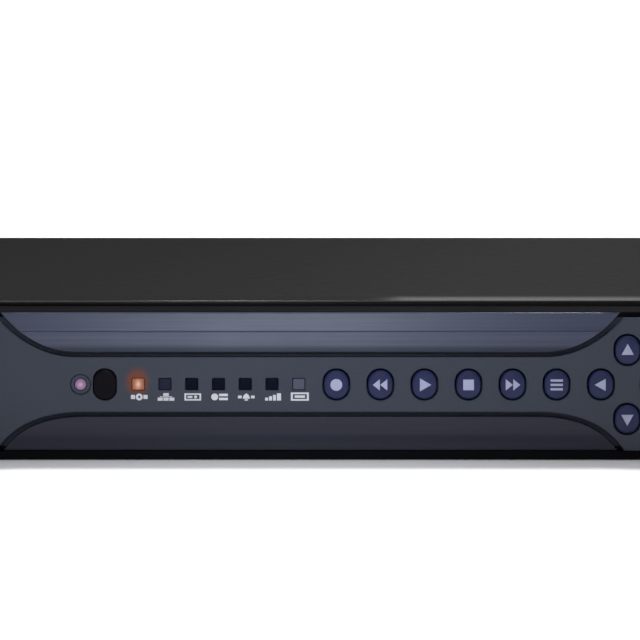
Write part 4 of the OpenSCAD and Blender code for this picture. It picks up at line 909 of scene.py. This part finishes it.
rear_marks("earth_sign", [rect(129.0, 132.6, 11.9, 12.2), rect(129.6, 132.0, 11.1, 11.4), rect(130.2, 131.4, 10.3, 10.6), rect(130.65, 130.95, 12.2, 14.0)])


def bars(name, boxes, mat, body="recorder", width=0.08):
    """Several small rounded bars, each (x0, x1, y0, y1, z0, z1) in mm."""
    bm = bmesh.new()
    for x0, x1, y0, y1, z0, z1 in boxes:
        r = bmesh.ops.create_cube(bm, size=1.0)
        for v in r["verts"]:
            v.co = Vector(((x0 + x1) / 2 + v.co.x * (x1 - x0), (y0 + y1) / 2 + v.co.y * (y1 - y0), (z0 + z1) / 2 + v.co.z * (z1 - z0)))
    bmesh.ops.bevel(bm, geom=bm.edges[:], offset=width, segments=2, profile=0.5, affect="EDGES")
    bmesh.ops.scale(bm, vec=(MM, MM, MM), verts=bm.verts)
    return solid_from(name, bm, mat, body, True)


bars("network_contacts", [(LAN[0] - 3.7 + i * 1.02, LAN[0] - 3.35 + i * 1.02, YR - 11.9, YR - 3, MB_TOP + 9.3, MB_TOP + 9.75) for i in range(8)], M["gold"])
bars("network_lamps", [(LAN[0] + s * 6 - 1.25, LAN[0] + s * 6 + 1.25, YR + 0.42, YR + 0.95, MB_TOP + 11.05, MB_TOP + 12.35) for s in (-1, 1)], M["green"])
stick = [(USBR[0][0] + x - 0.5, USBR[0][0] + x + 0.5, YR - 11, YR - 2.6, zz + 0.18, zz + 0.34) for _, zz in USBR for x in (-3.5, -1.0, 1.0, 3.5)]
stick += [(127 + x - 0.5, 127 + x + 0.5, -115.5, -108.5, ROW_Z + 0.18, ROW_Z + 0.34) for x in (-3.5, -1.0, 1.0, 3.5)]
bars("stick_contacts", stick, M["gold"], width=0.04)
bars("monitor_contacts", [(HDMI[0] - 4.4 + i * 0.95, HDMI[0] - 4.0 + i * 0.95, YR - 9.5, YR - 1.2, MB_TOP + 2.9, MB_TOP + 3.06) for i in range(10)], M["gold"], width=0.03)

# ---------------------------------------------------------------- floor, light, camera
bm = bmesh.new()
bmesh.ops.create_grid(bm, x_segments=8, y_segments=8, size=14.0)
me = bpy.data.meshes.new("floor")
bm.to_mesh(me)
bm.free()
floor = bpy.data.objects.new("floor", me)
SC.collection.objects.link(floor)
fl = Mat("floor_white", (0.86, 0.86, 0.86), 0.9, spec=0.0)
fl.colour(fl.noise(3.0, 2), shades((0.86, 0.86, 0.86), 0.004))
me.materials.append(fl.m)

bm = bmesh.new()
bmesh.ops.create_uvsphere(bm, u_segments=48, v_segments=24, radius=13.0)
me = bpy.data.meshes.new("backdrop")
bm.to_mesh(me)
bm.free()
drop = bpy.data.objects.new("backdrop", me)
SC.collection.objects.link(drop)
bd = Mat("backdrop_white", (0.9, 0.9, 0.9), 1.0, spec=0.0)
bd.set("Emission Color", (1, 1, 1, 1))
bd.set("Emission Strength", 1.0)
me.materials.append(bd.m)
for flag in ("visible_diffuse", "visible_glossy", "visible_transmission", "visible_shadow", "visible_volume_scatter"):
    setattr(drop, flag, False)

world = bpy.data.worlds.new("studio")
SC.world = world
world.use_nodes = True
wn = world.node_tree
bg = wn.nodes["Background"]
tc = wn.nodes.new("ShaderNodeTexCoord")
sep = wn.nodes.new("ShaderNodeSeparateXYZ")
rp = wn.nodes.new("ShaderNodeValToRGB")
wn.links.new(tc.outputs["Generated"], sep.inputs[0])
wn.links.new(sep.outputs["Z"], rp.inputs["Fac"])
wn.links.new(rp.outputs["Color"], bg.inputs["Color"])
e = rp.color_ramp.elements
e[0].position, e[0].color = 0.0, (0.03, 0.03, 0.034, 1)
e[1].position, e[1].color = 0.85, (0.7, 0.7, 0.72, 1)
m2 = e.new(0.18)
m2.color = (0.04, 0.04, 0.045, 1)
m3 = e.new(0.4)
m3.color = (0.16, 0.16, 0.17, 1)
bg.inputs["Strength"].default_value = 0.6


def area(name, loc, target, size, power, colour=(1, 1, 1)):
    d = bpy.data.lights.new(name, "AREA")
    d.shape = "RECTANGLE"
    d.size, d.size_y = size
    d.energy = power
    d.color = colour
    o = bpy.data.objects.new(name, d)
    o.location = loc
    o.rotation_euler = (Vector(target) - Vector(loc)).to_track_quat("-Z", "Y").to_euler()
    SC.collection.objects.link(o)
    o.visible_camera = False
    return o


def sun(name, loc, target, strength, angle, colour=(1, 1, 1)):
    d = bpy.data.lights.new(name, "SUN")
    d.energy = strength
    d.angle = math.radians(angle)
    d.color = colour
    o = bpy.data.objects.new(name, d)
    o.location = loc
    o.rotation_euler = (Vector(target) - Vector(loc)).to_track_quat("-Z", "Y").to_euler()
    SC.collection.objects.link(o)
    o.visible_camera = False
    return o


sun("sky_soft", (0.5, 0.0, 2.0), (0, 0, 0), 0.8, 60)
sun("back_soft", (-0.1, 1.05, 2.0), (0, 0, 0), 2.9, 12).visible_glossy = False
area("softbox_front", (-0.03, -2.1, 0.76), (0.0, -0.12, 0.03), (0.16, 1.6), 5.2, (0.86, 0.91, 1.0))
glow = bpy.data.lights.new("centre_spot", "SPOT")
glow.energy = 24.0
glow.spot_size = math.radians(8.5)
glow.spot_blend = 1.0
glow.shadow_soft_size = 0.05
glow.color = (0.86, 0.92, 1.0)
spot = bpy.data.objects.new("centre_spot", glow)
spot.location = (0.0, -1.3, 0.42)
spot.rotation_euler = (Vector((-0.004, -0.12, 0.018)) - spot.location).to_track_quat("-Z", "Y").to_euler()
SC.collection.objects.link(spot)
spot.visible_glossy = False
spot.visible_camera = False
area("side_light", (0.16, 0.95, 1.1), (0.06, -0.1, 0.04), (0.1, 0.3), 1.9)
area("fold_light", (0.24, 2.6, 0.37), (0.06, -0.1, 0.04), (0.3, 0.22), 0.16)

D, ZC = 1.5, 0.198
F_PX = 3.5 * 1500
cam_d = bpy.data.cameras.new("camera")
cam_d.sensor_width = 36.0
cam_d.lens = F_PX / 640 * 36.0
cam_d.clip_start, cam_d.clip_end = 0.05, 60.0
cam = bpy.data.objects.new("camera", cam_d)
cam.location = (0.0043, YF * MM - D, ZC)
pitch = math.atan((ZC - 0.022) / D) - math.atan(64.5 / F_PX)
cam.rotation_euler = (math.pi / 2 - pitch, 0, 0)
SC.collection.objects.link(cam)
SC.camera = cam
SC.view_settings.view_transform = "Standard"
